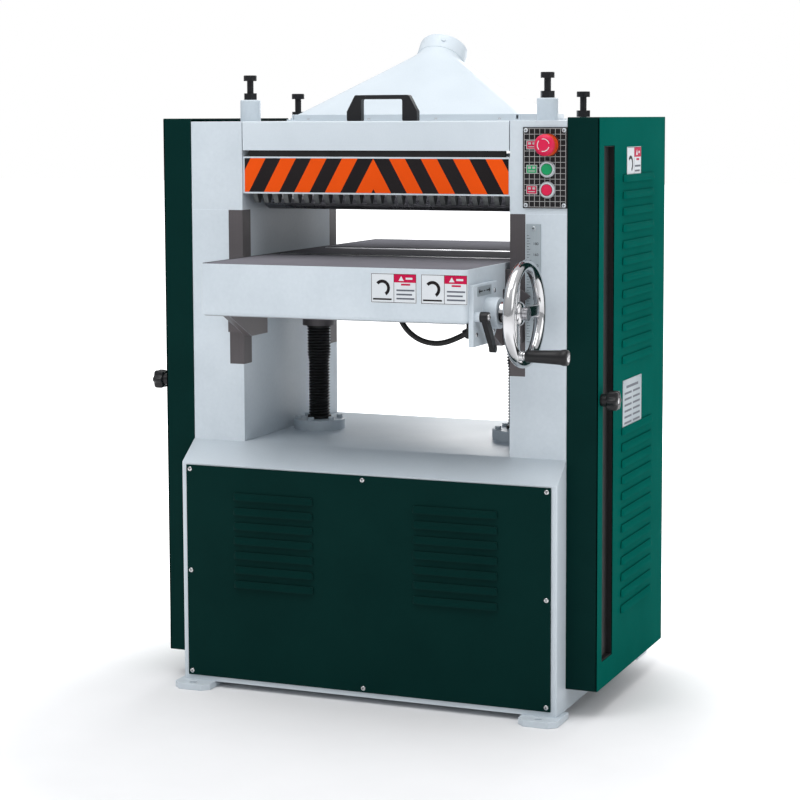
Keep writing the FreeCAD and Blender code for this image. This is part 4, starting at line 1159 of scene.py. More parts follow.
@dataclass
class HeadFront:
    """The striped band on the head's crossbar and a black strip that stands in as painted shade in
    the gap under the lid.
    """

    half_width: float = 269 * MM
    border: float = 3.2 * MM
    stripe: float = 32 * MM
    lean: float = 0.56

    def build(self) -> None:
        """Make the band and the painted-shade strip."""
        low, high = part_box("head_crossbars")
        plane = plane_at(Facing.FRONT, low.y)
        field_ = Rect(-self.half_width, self.half_width, low.z + self.border, high.z - self.border)
        shape = Shape()
        shape.prism(plane, field_.outline(1 * MM), 0.0, 0.30 * MM)
        shape.ink = 1
        for sign in (-1, 1):
            for index in range(-1, 9, 2):
                outline = self._stripe(field_, index)
                if sign < 0:
                    outline = [(-u, v) for u, v in reversed(outline)]
                if len(outline) > 2:
                    shape.prism(plane, outline, 0.0, 0.42 * MM)
        fit(shape.piece("warning_stripes", [INK_BLACK, INK_ORANGE]), "frame")
        # A black strip fills the gap under the lid as painted shade.
        gap_shade = Shape()
        lid_low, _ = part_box("lid_cover")
        gap_shade.prism(plane_at(Facing.FRONT, low.y + 9 * MM),
                   Rect(-262 * MM, 262 * MM, high.z - 2 * MM, lid_low.z + 3 * MM).outline(5 * MM),
                   0.0, 6 * MM)
        fit(gap_shade.piece("lid_gap_shade_strip", [RUBBER], bevel=1 * MM), "frame")

    def _stripe(self, field_: Rect, index: int) -> Outline:
        """One slanting stripe on the right half.

        Args:
            field_: The striped field.
            index: The stripe's number, counted outward.

        Returns:
            Its outline, cut to the field.
        """
        outline = [(0.0, field_.low), (field_.right, field_.low), (field_.right, field_.high),
                   (0.0, field_.high)]
        start = index * self.stripe
        outline = clip(outline, lambda u, v: u - self.lean * (field_.high - v) - start)
        return clip(outline, lambda u, v: start + self.stripe - u + self.lean * (field_.high - v))


@dataclass
class DustHood:
    """The folded hood: flange, tapering duct, neck and collar with a rolled bead."""

    corner: float = 26 * MM
    wall: float = 2.4 * MM
    tilt: float = math.radians(40)
    neck: float = 49 * MM
    collar: float = 50 * MM
    collar_foot: float = 6 * MM
    collar_length: float = 39.6 * MM
    seat_y: float = 128 * MM
    seat_rise: float = 100 * MM
    neck_from: float = 0.94
    lip: float = 8 * MM
    riser: float = 1.4 * MM

    def build(self) -> None:
        """Make the duct, collar, flange and screws."""
        low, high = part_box("dust_hood")
        self.base = Rect(low.x + self.lip, high.x - self.lip, low.y + self.lip, 205 * MM)
        self.foot_z = low.z + 11.8 * MM
        self.axis = Vector((0, math.sin(self.tilt), math.cos(self.tilt)))
        self.seat = Vector((0, self.seat_y, self.foot_z + self.seat_rise))
        shape = Shape()
        shape.sheet(self._duct, 128, 26, closed=True)
        duct = shape.piece("hood_duct", [WHITE_PAINT], crease=60, wall=self.wall)
        fit(duct, "lid", ("dust_hood",))
        self._collar()
        self._flange(low)

    def _duct(self, s: float, t: float) -> Vector:
        """A point of the duct.

        Args:
            s: Place round the duct, 0 to 1.
            t: Place from flange to neck, 0 to 1.

        Returns:
            The point.
        """
        angle = 2 * math.pi * s
        c, d = math.cos(angle), math.sin(angle)
        power = 14.0
        reach = (abs(c) ** power + abs(d) ** power) ** (-1.0 / power)
        middle = Vector((0, (self.base.low + self.base.high) / 2, self.foot_z))
        half_y = (self.base.high - self.base.low) / 2
        lower = middle + Vector((self.base.right * c * reach, half_y * d * reach, 0))
        back = self.axis.cross(RIGHTWARD)
        upper = self.seat + RIGHTWARD * (self.neck * c) + back * (self.neck * d)
        if t < self.neck_from:
            return lower.lerp(upper, t / self.neck_from)
        past = (t - self.neck_from) / (1.0 - self.neck_from)
        return upper + self.axis * (past * self.collar_foot)

    def _collar(self) -> None:
        """Make the collar that the hose fits over, with its bead and clamp screw."""
        r, n, top = self.collar, self.neck, self.collar_length
        profile = [(5.5 * MM, n - 0.6 * MM), (self.collar_foot, n),
                   (self.collar_foot + 0.8 * MM, r)]
        profile += [(top - down, r - back) for down, back in
                    mm((3, 0), (0.6, 0.5), (0, 1.4), (0.6, 2.6), (3, 3))]
        profile += [(5.5 * MM, r - 3.6 * MM), profile[0]]
        shape = Shape()
        shape.lathe(self.seat, self.axis, profile, 128)
        out = (RIGHTWARD * 0.35 + RIGHTWARD.cross(self.axis)).normalized()
        shape.lathe(self.seat + self.axis * (24 * MM) + out * (r - 0.5 * MM), out, CLAMP_SCREW, 24)
        fit(shape.piece("hood_collar", [WHITE_PAINT], crease=40), "lid")

    def _flange(self, low: Vector) -> None:
        """Make the flange and its screws.

        Args:
            low: Lowest corner of the hood's CAD box.
        """
        base = self.base
        plane = plane_at(Facing.TOP, low.z)
        outer = Rect(base.left - self.lip, base.right + self.lip, base.low - self.lip,
                     base.high + 4 * MM)
        shape = Shape()
        shape.pierced(plane, outer, [base.inset(12 * MM)], 3 * MM).weld()
        flange = shape.piece("hood_flange", [WHITE_PAINT], wall=3 * MM, recalc=False)
        fit(flange, "lid")
        riser = Shape()
        half = self.riser
        bars = [Rect(base.left + 5 * MM, base.right - 5 * MM, v - half, v + half)
                for v in (base.low, base.high)]
        bars += [Rect(u - half, u + half, base.low + 1 * MM, base.high - 1 * MM)
                 for u in (base.left, base.right)]
        for bar in bars:
            riser.prism(plane, bar.outline(1.2 * MM), 2 * MM, 12.6 * MM)
        fit(riser.piece("hood_riser", [WHITE_PAINT], bevel=0.6 * MM), "lid")
        places = [(u * MM, outer.low + 4 * MM) for u in (-200, -70, 70, 200)]
        add_screws("hood_screws", plane_at(Facing.TOP, low.z + 3 * MM), places, 3.2 * MM, "lid")


# ---- controls --------------------------------------------------------------------------------
BUTTON_CAP = mm((-9, 0), (-9, 10), (5.6, 10), (6.5, 9.6), (7, 8.6), (6.8, 6), (6.5, 3), (6.4, 0))
BUTTON_BEZEL = mm((0, 10.5), (0, 15.2), (2.2, 15.2), (4.2, 14.4), (5.4, 13.2), (5.6, 12),
                  (5.2, 10.9), (4, 10.5), (0, 10.5))
STOP_SKIRT = mm((-9, 0), (-9, 10), (14, 10), (14.4, 18), (15.2, 19.7), (20, 20), (23.6, 19.6))
STOP_CAP = mm((23.5, 19.62), (25.5, 19), (28, 17.2), (29.8, 14.4), (30.7, 11), (30.8, 6), (30.6, 0))
STOP_COLLAR = mm((0, 10.5), (0, 21), (3.4, 21), (5, 20), (5.2, 11), (4, 10.5), (0, 10.5))


@dataclass
class SwitchPlate:
    """Grid lines, coloured fields, bezels, buttons and the mushroom stop button."""

    pitch: float = 10.5 * MM
    line: float = 0.9 * MM
    face_y: float = -225 * MM

    def build(self) -> None:
        """Make everything on the plate."""
        low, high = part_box("control_plate")
        plane = plane_at(Facing.FRONT, self.face_y)
        rect = Rect(low.x, high.x, low.z, high.z)
        self._grid(plane, rect)
        self._labels(plane)
        for node, finish, slot in (("start_button", START_GREEN, "button_green"),
                                   ("stop_button", STOP_RED, "button_red")):
            self._button(node, finish, plane)
        self._stop(plane)

    def _grid(self, plane: Plane, rect: Rect) -> None:
        """Make the pale grid, the border and the corner screws.

        Args:
            plane: The plate's face.
            rect: The plate's outline.
        """
        inner = rect.inset(2.4 * MM)
        wide, tall = inner.right - inner.left, inner.high - inner.low
        columns, rows = round(wide / self.pitch), round(tall / self.pitch)
        half = self.line / 2
        lines = []
        for i in range(columns + 1):
            u = inner.left + i * wide / columns
            lines.append(Rect(u - half, u + half, inner.low, inner.high))
        for j in range(rows + 1):
            v = inner.low + j * tall / rows
            lines.append(Rect(inner.left, inner.right, v - half, v + half))
        shape = Shape()
        for line in lines:
            shape.prism(plane, line.outline(), 0, 0.14 * MM)
        fit(shape.piece("switch_grid", [INK_LINE]), "frame")
        add_screws("switch_screws", plane, rect.inset(5.5 * MM).outline(), 4.0 * MM, "frame",
                   BEZEL_GREY)

    def _labels(self, plane: Plane) -> None:
        """Make the outlined colour fields beside the buttons.

        Args:
            plane: The plate's face.
        """
        shape = Shape()
        for node, ink in (("emergency_stop", 1), ("start_button", 2), ("stop_button", 1)):
            v = middle_of(node).z
            field_ = Rect(305.5 * MM, 326.5 * MM, v - 8 * MM, v + 8 * MM)
            shape.ink = 0
            shape.prism(plane, field_.outline(), 0, 0.20 * MM)
            shape.ink = ink
            shape.prism(plane, field_.inset(1.4 * MM).outline(), 0, 0.27 * MM)
            shape.ink = 0
            for left in (0.16, 0.56):
                wide = field_.right - field_.left
                mark = Rect(field_.left + left * wide, field_.left + (left + 0.26) * wide,
                            v + 0.5 * MM, v + 4.8 * MM)
                shape.prism(plane, mark.outline(1 * MM), 0, 0.33 * MM)
            shape.prism(plane, Rect(field_.left + 4 * MM, field_.right - 4 * MM, v - 4.2 * MM,
                                    v - 2.4 * MM).outline(), 0, 0.33 * MM)
        fit(shape.piece("switch_fields", [INK_LINE, INK_CRIMSON, START_GREEN]), "frame")

    def _button(self, node: str, finish: Finish, plane: Plane) -> None:
        """Make one push button and its bezel.

        Args:
            node: The button's node and body.
            finish: Its finish.
            plane: The plate's face.
        """
        middle = middle_of(node)
        centre = plane.at(middle.x, middle.z)
        cap = Shape()
        cap.lathe(centre, FORWARD, BUTTON_CAP, 64)
        fit(cap.piece(node + "_cap", [finish]), node, (node,))
        bezel = Shape()
        bezel.lathe(centre, FORWARD, BUTTON_BEZEL, 64)
        fit(bezel.piece(node + "_bezel", [BEZEL_GREY]), "frame")

    def _stop(self, plane: Plane) -> None:
        """Make the mushroom button, its skirt ring and its turn arrows.

        Args:
            plane: The plate's face.
        """
        body = "emergency_stop"
        middle = middle_of(body)
        centre = plane.at(middle.x, middle.z)
        skirt = Shape()
        skirt.lathe(centre, FORWARD, STOP_SKIRT, 72)
        fit(skirt.piece("stop_skirt", [SKIRT_ORANGE]), body, (body,))
        cap = Shape()
        cap.lathe(centre, FORWARD, STOP_CAP, 72)
        fit(cap.piece("stop_mushroom", [STOP_RED], recalc=False), body)
        marks = Shape()
        level = Plane(Facing.FRONT, centre)
        stretch = [1.0] * ARC_POINTS + [1.44] * ARC_POINTS
        for start in (15, 135, 255):
            arc = SafetyLabel._ring_slice((0.0, 0.0), 11.8 * MM, start, 88)
            arc = [(u * k, v * k) for (u, v), k in zip(arc, stretch)]
            marks.prism(level, arc, 30.2 * MM, 30.95 * MM)
        fit(marks.piece("stop_arrows", [VINYL_WHITE]), body)
        collar = Shape()
        collar.lathe(centre, FORWARD, STOP_COLLAR, 64)
        fit(collar.piece("stop_collar", [SKIRT_ORANGE]), "frame")


@dataclass
class ThicknessScale:
    """Divisions and numbers on the scale plate."""

    division: float = 5 * MM
    face_y: float = -224 * MM
    ink: float = 0.12 * MM

    def build(self) -> None:
        """Make the divisions, numbers and screws."""
        low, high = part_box("scale_plate")
        plane = plane_at(Facing.FRONT, self.face_y)
        shape = Shape()
        count = int((high.z - low.z - 32 * MM) / self.division)
        for i in range(count + 1):
            v = low.z + 16 * MM + i * self.division
            length = 9 * MM if i % 10 == 0 else (6.5 * MM if i % 2 == 0 else 4 * MM)
            left = low.x + 1.5 * MM
            mark = Rect(left, left + length, v - 0.35 * MM, v + 0.35 * MM)
            shape.prism(plane, mark.outline(), 0.0, self.ink)
            if i % 4 == 0:
                self._number(shape, plane, str(10 * (i // 2)), low.x + 13.5 * MM, v)
        fit(shape.piece("scale_divisions", [INK_BLACK]), "frame")
        places = [((low.x + high.x) / 2, v) for v in (low.z + 8 * MM, high.z - 8 * MM)]
        add_screws("scale_screws", plane, places, 4.6 * MM, "frame")

    def _number(self, shape: Shape, plane: Plane, text: str, u: float, v: float) -> None:
        """Add a raised number.

        Args:
            shape: The shape it is added to.
            plane: The plate's face.
            text: The digits.
            u: Left edge.
            v: Middle height.
        """
        curve = bpy.data.curves.new("digits", "FONT")
        curve.body = text
        curve.size = 7 * MM
        curve.align_y = "CENTER"
        carrier = bpy.data.objects.new("digits", curve)
        mesh = bpy.data.meshes.new_from_object(carrier)
        for polygon in mesh.polygons:
            corners = [mesh.vertices[i].co for i in polygon.vertices]
            shape.face([plane.at(u + c.x, v + c.y, self.ink) for c in corners])
        bpy.data.objects.remove(carrier)
        bpy.data.curves.remove(curve)
        bpy.data.meshes.remove(mesh)


# ---- table -----------------------------------------------------------------------------------
TURN_ARROW = mm((10, -1.2), (23, -1.2), (23, -4.8), (30, 0), (23, 4.8), (23, 1.2), (10, 1.2))
GEARBOX_SCREWS = mm((-306, 724), (-396, 724), (-302, 796))
WHEEL_HUB = mm((0.3, 12.4), (0.3, 20), (1.3, 21.6), (10, 22), (31, 22), (35, 22), (38, 20.5),
               (40, 17.5), (41, 14), (41.1, 9), (39.5, 8), (39.5, 0))
GRIP_SPINDLE = mm((0, 0), (0, 9), (13, 9), (15, 8.4), (16, 7), (18.6, 7), (19, 6.4), (19, 4.8),
                  (96, 4.8), (96, 0))
GRIP_CAP = mm((0, 0), (0, 8), (1.2, 8), (1.8, 7), (1.9, 3), (1.4, 2.6), (1.4, 0))


@dataclass
class TableTop:
    """The ground top of the table, its labels, and the turning plate on its side."""

    inset: float = 1.6 * MM
    corner: float = 9 * MM
    slot_half: float = 27 * MM
    slot_reach: float = 247 * MM
    skin: float = 0.12 * MM
    label_lefts: tuple[float, float] = (81 * MM, 177 * MM)

    def build(self) -> None:
        """Make the top and what is stuck on the aprons."""
        low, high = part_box("table_casting")
        slot_y = middle_of("bed_roller_rear").y
        top = plane_at(Facing.TOP, high.z)
        self._ground_top(top, slot_y,
                         Rect(low.x, high.x, low.y, high.y).inset(self.inset))
        self._slot_linings(slot_y, high.z)
        apron = plane_at(Facing.FRONT, low.y)
        for number, left in enumerate(self.label_lefts, 1):
            rect = Rect(left, left + 88 * MM, high.z - 62 * MM, high.z - 9 * MM)
            SafetyLabel(f"apron_label_{number}", apron, rect, "table").build()
        self._turn_plate()
        strip = Shape()
        strip.prism(top, Rect(low.x + 1.2 * MM, low.x + 4.6 * MM, low.y + 12 * MM,
                              high.y - 12 * MM).outline(), 0.0, 0.6 * MM)
        fit(strip.piece("table_edge_seal", [RUBBER]), "table")

    def _ground_top(self, top: Plane, slot_y: float, outline: Rect) -> None:
        """Make the ground face, cut round the two roller slots.

        Args:
            top: The table's face.
            slot_y: Distance of the slots from the middle.
            outline: The face's outline.
        """
        inner, outer = slot_y - self.slot_half, slot_y + self.slot_half
        side, reach = outline.right, self.slot_reach
        shape = Shape()
        rounded = outline.outline(self.corner, 6)
        front = [(u, v) for u, v in rounded if v < -outer]
        ends = [[p for p in front if p[0] < 0] + [p for p in front if p[0] > 0]
                + [(side, -outer), (reach, -outer), (-reach, -outer), (-side, -outer)],
                [(-side, outer), (-reach, outer), (reach, outer), (side, outer)]
                + [(u, v) for u, v in rounded if v > outer]]
        rects = [Rect(-side, side, -inner, inner)]
        rects += [Rect(left, right, start, start + outer - inner)
                  for left, right in ((-side, -reach), (reach, side)) for start in (-outer, inner)]
        for corners in ends + [rect.outline() for rect in rects]:
            shape.face([top.at(u, v, self.skin) for u, v in corners])
        shape.weld()
        ground = shape.piece("table_ground_top", [GROUND_IRON], wall=0.30 * MM)
        fit(ground, "table")

    def _slot_linings(self, slot_y: float, top: float) -> None:
        """Make the dark bottoms of the two roller slots.

        Args:
            slot_y: Distance of the slots from the middle.
            top: Height of the table's face.
        """
        shape = Shape()
        plane = plane_at(Facing.TOP, top - 29 * MM)
        for centre in (-slot_y, slot_y):
            floor = Rect(-self.slot_reach, self.slot_reach, centre - self.slot_half,
                         centre + self.slot_half).inset(0.4 * MM)
            shape.pierced(plane, floor, [])
            shape.walls(plane, floor, 28.8 * MM, 0.0)
        lining = shape.weld().piece("roller_slot_walls", [DARK_IRON], wall=0.3 * MM, recalc=False)
        fit(lining, "table")

    @staticmethod
    def _turn_plate() -> None:
        """Make the small plate with a double arrow beside the handwheel."""
        low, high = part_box("wheel_gearbox")
        plane = plane_at(Facing.RIGHT, 272 * MM)
        rect = Rect(low.y + 20 * MM, low.y + 92 * MM, high.z - 22 * MM, high.z - 5 * MM)
        shape = Shape()
        shape.prism(plane, rect.outline(1.5 * MM), 0.0, 0.5 * MM)
        shape.ink = 1
        middle = (rect.low + rect.high) / 2
        centre = (rect.left + rect.right) / 2
        for sign in (-1, 1):
            arrow = [(centre + sign * u, middle + v) for u, v in TURN_ARROW]
            shape.prism(plane, arrow[::sign], 0.4 * MM, 0.62 * MM)
        bar = Rect(centre - 4 * MM, centre + 4 * MM, middle - 1 * MM, middle + 1 * MM)
        shape.prism(plane, bar.outline(), 0.4 * MM, 0.62 * MM)
        fit(shape.piece("turn_plate", [PLATE_METAL, INK_BLACK]), "table")
        add_screws("gearbox_screws", plane, GEARBOX_SCREWS, 4.5 * MM, "table")


@dataclass
class Handwheel:
    """Chromed wheel with three flat arms, the crank grip and the lock lever's screw."""

    centre: Vector = Vector((341 * MM, -336 * MM, 758 * MM))
    radius: float = 86 * MM
    rim: float = 10.8 * MM
    dish: float = 13 * MM
    arm_half: float = 4.6 * MM
    hub_back: float = 43 * MM
    ring_points: int = 144
    grip_reach: float = 85 * MM
    grip_lean: float = math.radians(35)
    lever_screw: tuple[float, float] = (-399 * MM, 756 * MM)

    def build(self) -> None:
        """Make the wheel and its grip."""
        shape = Shape()
        ring = [self.centre + Vector((0, math.cos(angle), math.sin(angle))) * self.radius
                for angle in (2 * math.pi * i / self.ring_points for i in range(self.ring_points))]
        shape.tube(ring, self.rim, 32)
        shape.lathe(self.centre - RIGHTWARD * self.hub_back, RIGHTWARD, WHEEL_HUB, 72)
        for i in range(3):
            turn = math.radians(120 * i)
            shape.sheet(lambda s, t, a=turn: self._arm_point(a, s, t), 32, 14, closed=True)
        lean = Vector((0, math.sin(self.grip_lean), math.cos(self.grip_lean)))
        shape.lathe(self.centre - lean * self.grip_reach, RIGHTWARD, GRIP_SPINDLE, 48)
        wheel = shape.piece("handwheel_chromed", [CHROME], crease=40)
        fit(wheel, "handwheel", ("handwheel",))
        self._grip()
        pivot = plane_at(Facing.RIGHT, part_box("lock_lever")[1].x)
        add_screws("lever_screw", pivot, [self.lever_screw], 6 * MM, "lock_lever")

    def _arm_point(self, turn: float, s: float, t: float) -> Vector:
        """A point of one flat arm that dishes from hub to rim.

        Args:
            turn: The arm's angle round the axis.
            s: Place round the arm's section, 0 to 1.
            t: Place from hub to rim, 0 to 1.

        Returns:
            The point.
        """
        reach = 16 * MM + t * (self.radius - 18 * MM)
        width = (13.5 - 4.0 * math.sin(math.pi * t) ** 0.8 * 0.6) * MM
        angle = 2 * math.pi * s
        c, d = math.cos(angle), math.sin(angle)
        power = 5.0
        k = (abs(c) ** power + abs(d) ** power) ** (-1.0 / power)
        dish = (1.0 - t) * self.dish
        local = Vector((self.arm_half * d * k - dish, reach, width * c * k))
        return self.centre + Matrix.Rotation(turn, 3, "X") @ local

    def _grip(self) -> None:
        """Make the tapered grip and its bright end cap."""
        low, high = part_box("crank_grip")
        start = middle_of("crank_grip")
        start.x = low.x
        length = high.x - low.x
        bore = 5.2 * MM
        profile = [(0.0, bore), (0.0, 9.6 * MM), (1.0 * MM, 10.8 * MM)]
        for i in range(1, 9):
            t = i / 8
            profile.append((1 * MM + t * (length - 15 * MM), (10.8 + 2.2 * t ** 1.4) * MM))
        profile += [(length - back, radius) for back, radius in
                    mm((11, 14), (8, 14.5), (3, 14.4), (0.8, 13.2), (0, 11), (0, 5.2))]
        shape = Shape()
        shape.lathe(start, RIGHTWARD, profile + profile[:1], 64)
        grip = shape.piece("crank_grip_turned", [BLACK_PLASTIC], crease=50)
        fit(grip, "crank_grip", ("crank_grip",))
        cap = Shape()
        cap.lathe(start + RIGHTWARD * (length - 1 * MM), RIGHTWARD, GRIP_CAP, 40)
        fit(cap.piece("crank_grip_cap", [CHROME]), "handwheel")


@dataclass
class ScrewBellows:
    """Folded covers round the two lead screws, built at one fixed length; on the machine they
    shorten as the table goes down.
    """

    folds: int = 30
    valley: float = 18.6 * MM
    crest: float = 21.6 * MM
    ridge: float = 23.8 * MM
    inner: float = 16.2 * MM
    fuller_from: float = 0.62

    def build(self) -> None:
        """Make both covers as one piece across the lift."""
        low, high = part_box("bellows")
        reach = high.z - low.z
        profile = [(0.0, self.inner), (0.0, self.ridge), (0.03 * reach, self.ridge),
                   (0.035 * reach, self.valley)]
        steps = 8
        for i in range(self.folds * steps + 1):
            wave = 0.5 - 0.5 * math.cos(2 * math.pi * i / steps)
            along = i / (self.folds * steps)
            swell = 1.0 + 0.10 * min(1.0, max(0.0, (along - self.fuller_from) / 0.08))
            ridge = min(self.ridge, self.crest * swell)
            profile.append((reach * (0.04 + 0.93 * along),
                            self.valley * swell + (ridge - self.valley * swell) * wave ** 0.75))
        profile += [(0.975 * reach, self.ridge), (reach, self.ridge), (reach, self.inner),
                    (0.0, self.inner)]
        shape = Shape()
        offset = middle_of("lead_screw_right").x
        for x in (-offset, offset):
            shape.lathe(Vector((x, 0, low.z)), UP, profile, 56)
        cover = shape.piece("screw_bellows", [RUBBER], crease=70)
        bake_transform(cover)
        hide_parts("bellows")
        log.info("screw_bellows stretches from frame to table")


@dataclass
class ConduitRun:
    """The conduit that droops from under the table to the gearbox block."""

    radius: float = 5 * MM
    route: tuple[tuple[float, float, float], ...] = (
        (0.118, -0.388, 0.775), (0.1216, -0.388, 0.7493), (0.1364, -0.3876, 0.7255),
        (0.1613, -0.3868, 0.7087), (0.1909, -0.386, 0.7035), (0.2202, -0.385, 0.7097),
        (0.2449, -0.384, 0.7228))

    def build(self) -> None:
        """Make the conduit as one smooth curve."""
        curve = bpy.data.curves.new("conduit_hose", "CURVE")
        curve.dimensions = "3D"
        curve.bevel_depth = self.radius
        curve.bevel_resolution = 6
        curve.resolution_u = 16
        curve.use_fill_caps = True
        spline = curve.splines.new("NURBS")
        spline.points.add(len(self.route) - 1)
        for point, place in zip(spline.points, self.route):
            point.co = (*place, 1.0)
        spline.order_u = 3
        spline.use_endpoint_u = True
        hose = bpy.data.objects.new("conduit_hose", curve)
        bpy.context.scene.collection.objects.link(hose)
        curve.materials.append(RUBBER.material())
        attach(hose, "table")
        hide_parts("conduit")
        log.info("conduit_hose rides on table")


# ---- CAD nodes that keep their shape -----------------------------------------------------------
class CadDressing:
    """Finishes and rounded edges for the CAD nodes whose shape is right."""

    finishes: dict[Finish, tuple[str, ...]] = {
        WHITE_PAINT: ("foot_plates", "base_cabinet", "lid_cover", "hinge_brackets",
                      "head_crossbars"),
        CAST_PAINT: ("column_left", "column_right", "head_box_left", "head_box_right",
                     "spring_bosses", "nut_flanges", "wheel_gearbox"),
        TABLE_PAINT: ("table_casting",),
        WAY_STEEL: ("guide_ways", "gib_strips", "lift_gear_housings", "head_bars"),
        SHAFT_STEEL: ("cutter_block", "infeed_roller", "outfeed_roller", "bed_roller_front",
                      "bed_roller_rear", "wheel_shaft", "cross_shaft", "drive_shaft",
                      "feed_sprocket", "feed_chain"),
        FINGER_STEEL: ("kickback_fingers",),
        SCREW_STEEL: ("lead_screw_left", "lead_screw_right"),
        DARK_IRON: ("bearing_housings", "cutter_pulley", "motor_rotor"),
        BLACK_PLASTIC: ("lid_handle", "lock_lever", "conduit_glands"),
        BLACK_METAL: ("pressure_screw_front_left", "pressure_screw_front_right",
                      "pressure_screw_rear_left", "pressure_screw_rear_right"),
        RUBBER: ("drive_belts",),
        PLATE_METAL: ("scale_plate",),
        SWITCH_BLACK: ("control_plate",),
        MOTOR_GREY: ("main_motor", "feed_gearbox"),
    }
    rounded: dict[str, float] = {
        "foot_plates": 1.2 * MM, "base_cabinet": 1.6 * MM, "column_left": 1.2 * MM,
        "column_right": 1.2 * MM, "head_crossbars": 1.5 * MM, "lid_cover": 1.0 * MM,
        "lid_handle": 2.2 * MM, "wheel_gearbox": 1.5 * MM, "scale_plate": 0.3 * MM,
        "kickback_fingers": 0.8 * MM, "guide_ways": 0.4 * MM, "gib_strips": 0.6 * MM,
        "head_bars": 1.0 * MM, "hinge_brackets": 0.4 * MM, "lock_lever": 0.8 * MM,
        "head_box_left": 1.2 * MM, "head_box_right": 1.2 * MM,
    }

    def build(self) -> None:
        """Dress every kept node."""
        for finish, names in self.finishes.items():
            for name in names:
                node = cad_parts[name]
                if not node.material_slots:
                    node.data.materials.append(None)
                for slot in node.material_slots:
                    slot.material = finish.material()
                weld = node.modifiers.new("weld", "WELD")
                weld.merge_threshold = 0.01 * MM
                width = self.rounded.get(name, 0.0)
                if width > 0.0:
                    add_bevel(node, width)
                    node.modifiers["rounded_edges"].harden_normals = False
                add_smoothing(node)
                log.info("%s dressed in %s", name, finish.name)


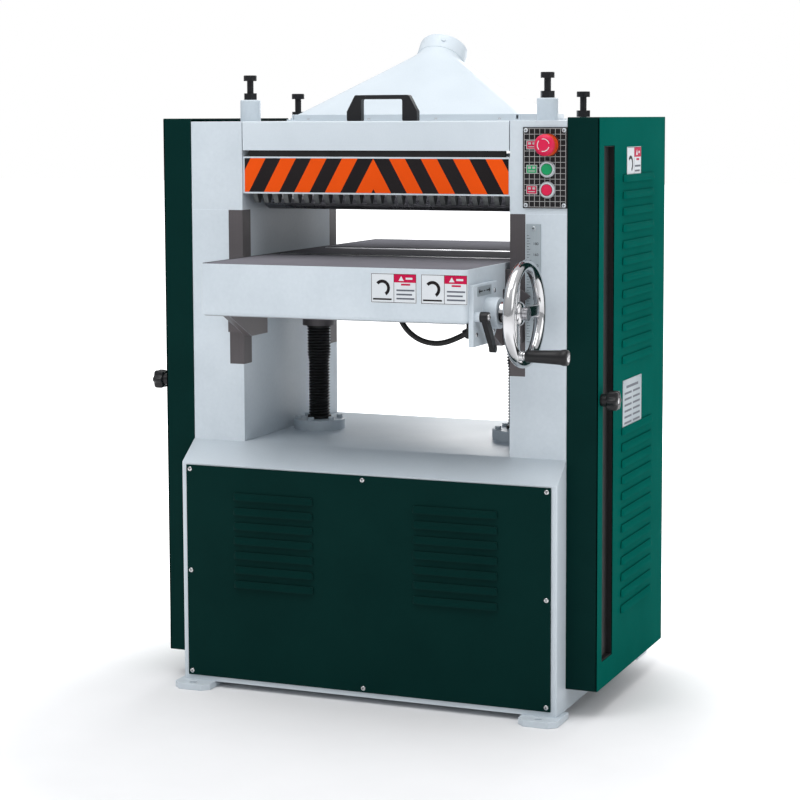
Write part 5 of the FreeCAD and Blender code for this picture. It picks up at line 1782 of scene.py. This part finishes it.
# ---- studio ----------------------------------------------------------------------------------
@dataclass
class Studio:
    """Floor, lights, sky and camera."""

    camera_at: Vector = Vector((1.5685, -3.9090, 1.1063))
    yaw: float = -0.3896
    pitch: float = -0.0947
    roll: float = -0.0037
    lens: float = 95.9
    shift_y: float = -0.1
    floor_half: float = 30.0

    def build(self) -> None:
        """Make the studio."""
        self._camera()
        self._floor()
        self._sky()
        self._lights()
        scene = bpy.context.scene
        scene.view_settings.view_transform = "Standard"
        scene.view_settings.look = "None"

    def _camera(self) -> None:
        """Place the camera."""
        data = bpy.data.cameras.new("camera")
        data.lens = self.lens
        data.sensor_width = 36.0
        data.shift_y = self.shift_y
        data.clip_end = 200.0
        camera = bpy.data.objects.new("camera", data)
        bpy.context.scene.collection.objects.link(camera)
        turn = (Matrix.Rotation(-self.yaw, 4, "Z")
                @ Matrix.Rotation(math.pi / 2 + self.pitch, 4, "X")
                @ Matrix.Rotation(self.roll, 4, "Z"))
        camera.matrix_world = Matrix.Translation(self.camera_at) @ turn
        bpy.context.scene.camera = camera

    def _floor(self) -> None:
        """Make the floor, just under the anchor plates."""
        shape = Shape()
        half = self.floor_half
        shape.pierced(plane_at(Facing.TOP, -0.0002), Rect(-half, half, -half, half),
                      [Rect(-half, -half + 0.01, -half, -half + 0.01)])
        floor = shape.piece("studio_floor", [FLOOR_WHITE], recalc=False)
        self._glow_with_painted_shade(floor.data.materials[0])

    @staticmethod
    def _glow_with_painted_shade(mat: bpy.types.Material) -> None:
        """Let the floor glow white far from the machine, so that it runs out into the backdrop. The
        patch left unglowing round the foot, centred toward the front, is painted shade.

        Args:
            mat: The floor's material.
        """
        tree = Tree(mat.node_tree)
        shader = tree.nodes["Principled BSDF"]
        # The glow's centre moves toward the front, so the darker unglowing patch of painted shadow
        # lies mostly before the machine.
        offset = tree.add("ShaderNodeVectorMath", {1: (-0.05, 0.45, 0.0)}, operation="ADD")
        tree.link(tree.add("ShaderNodeTexCoord").outputs["Object"], offset.inputs[0])
        reach = tree.add("ShaderNodeVectorMath", operation="LENGTH")
        tree.link(offset.outputs["Vector"], reach.inputs[0])
        glow_outside_shade = tree.map(reach.outputs["Value"], 0.55, 1.25, kind="SMOOTHSTEP")
        seen = tree.map(tree.add("ShaderNodeLightPath").outputs["Is Camera Ray"], 0.0, 1.0, 0.50)
        glow = tree.add("ShaderNodeMath", operation="MULTIPLY")
        tree.link(glow_outside_shade, glow.inputs[0])
        tree.link(seen, glow.inputs[1])
        shader.inputs["Emission Color"].default_value = (1.0, 1.0, 1.0, 1.0)
        tree.link(glow.outputs[0], shader.inputs["Emission Strength"])

    @staticmethod
    def _sky() -> None:
        """Set a pale sky that is darker low down, for the metal to reflect."""
        world = bpy.data.worlds.new("studio_sky")
        bpy.context.scene.world = world
        world.use_nodes = True
        tree = Tree(world.node_tree)
        background = tree.nodes["Background"]
        split = tree.add("ShaderNodeSeparateXYZ")
        tree.link(tree.add("ShaderNodeTexCoord").outputs["Generated"], split.inputs[0])
        sky = tree.ramp(split.outputs["Z"], (0.0, 0.75), (0.40, 0.41, 0.42), (0.78, 0.79, 0.80))
        seen = tree.add("ShaderNodeLightPath").outputs["Is Camera Ray"]
        tree.link(tree.mix(seen, sky, (1.0, 1.0, 1.0)), background.inputs["Color"])
        background.inputs["Strength"].default_value = 1.0

    def _lights(self) -> None:
        """Hang the soft lights."""
        self._area("key_light", Vector((-1.1, -2.6, 4.2)), 2.4, 37.0)
        self._area("side_light", Vector((3.8, -0.6, 2.2)), 2.2, 22.0)
        self._area("top_light", Vector((0.2, -0.9, 4.2)), 3.0, 70.0)
        self._area("back_light", Vector((-0.2, 3.4, 2.0)), 2.4, 56.0)

    @staticmethod
    def _area(name: str, place: Vector, size: float, power: float) -> None:
        """Hang one square soft light that looks at the machine.

        Args:
            name: Its name.
            place: Where it hangs.
            size: Length of its side.
            power: Its power in watts.
        """
        data = bpy.data.lights.new(name, "AREA")
        data.size = size
        data.energy = power
        lamp = bpy.data.objects.new(name, data)
        bpy.context.scene.collection.objects.link(lamp)
        lamp.location = place
        look = Vector((0, 0, 0.65)) - place
        lamp.rotation_euler = look.to_track_quat("-Z", "Y").to_euler()
        lamp.visible_camera = False


def main() -> None:
    """Build the studio and the planer, sub-assembly by sub-assembly."""
    logging.basicConfig(level=logging.INFO, format="%(message)s")
    for maker in (Studio, ConduitRun, CadDressing, StandPanels):
        maker().build()
    for side in Side:
        SideDoor(side).build()
    door_face = plane_at(Facing.RIGHT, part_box("right_door")[1].x - SideDoor.proud)
    SafetyLabel("door_label", door_face, Rect(-46 * MM, 49 * MM, 985 * MM, 1050 * MM),
                "right_door").build()
    DataPlate(door_face, Rect(-66 * MM, 60 * MM, 514 * MM, 611 * MM), "right_door").build()
    for maker in (HeadFront, DustHood, SwitchPlate, ThicknessScale, TableTop, Handwheel,
                  ScrewBellows):
        maker().build()


if __name__ == "__main__":
    main()
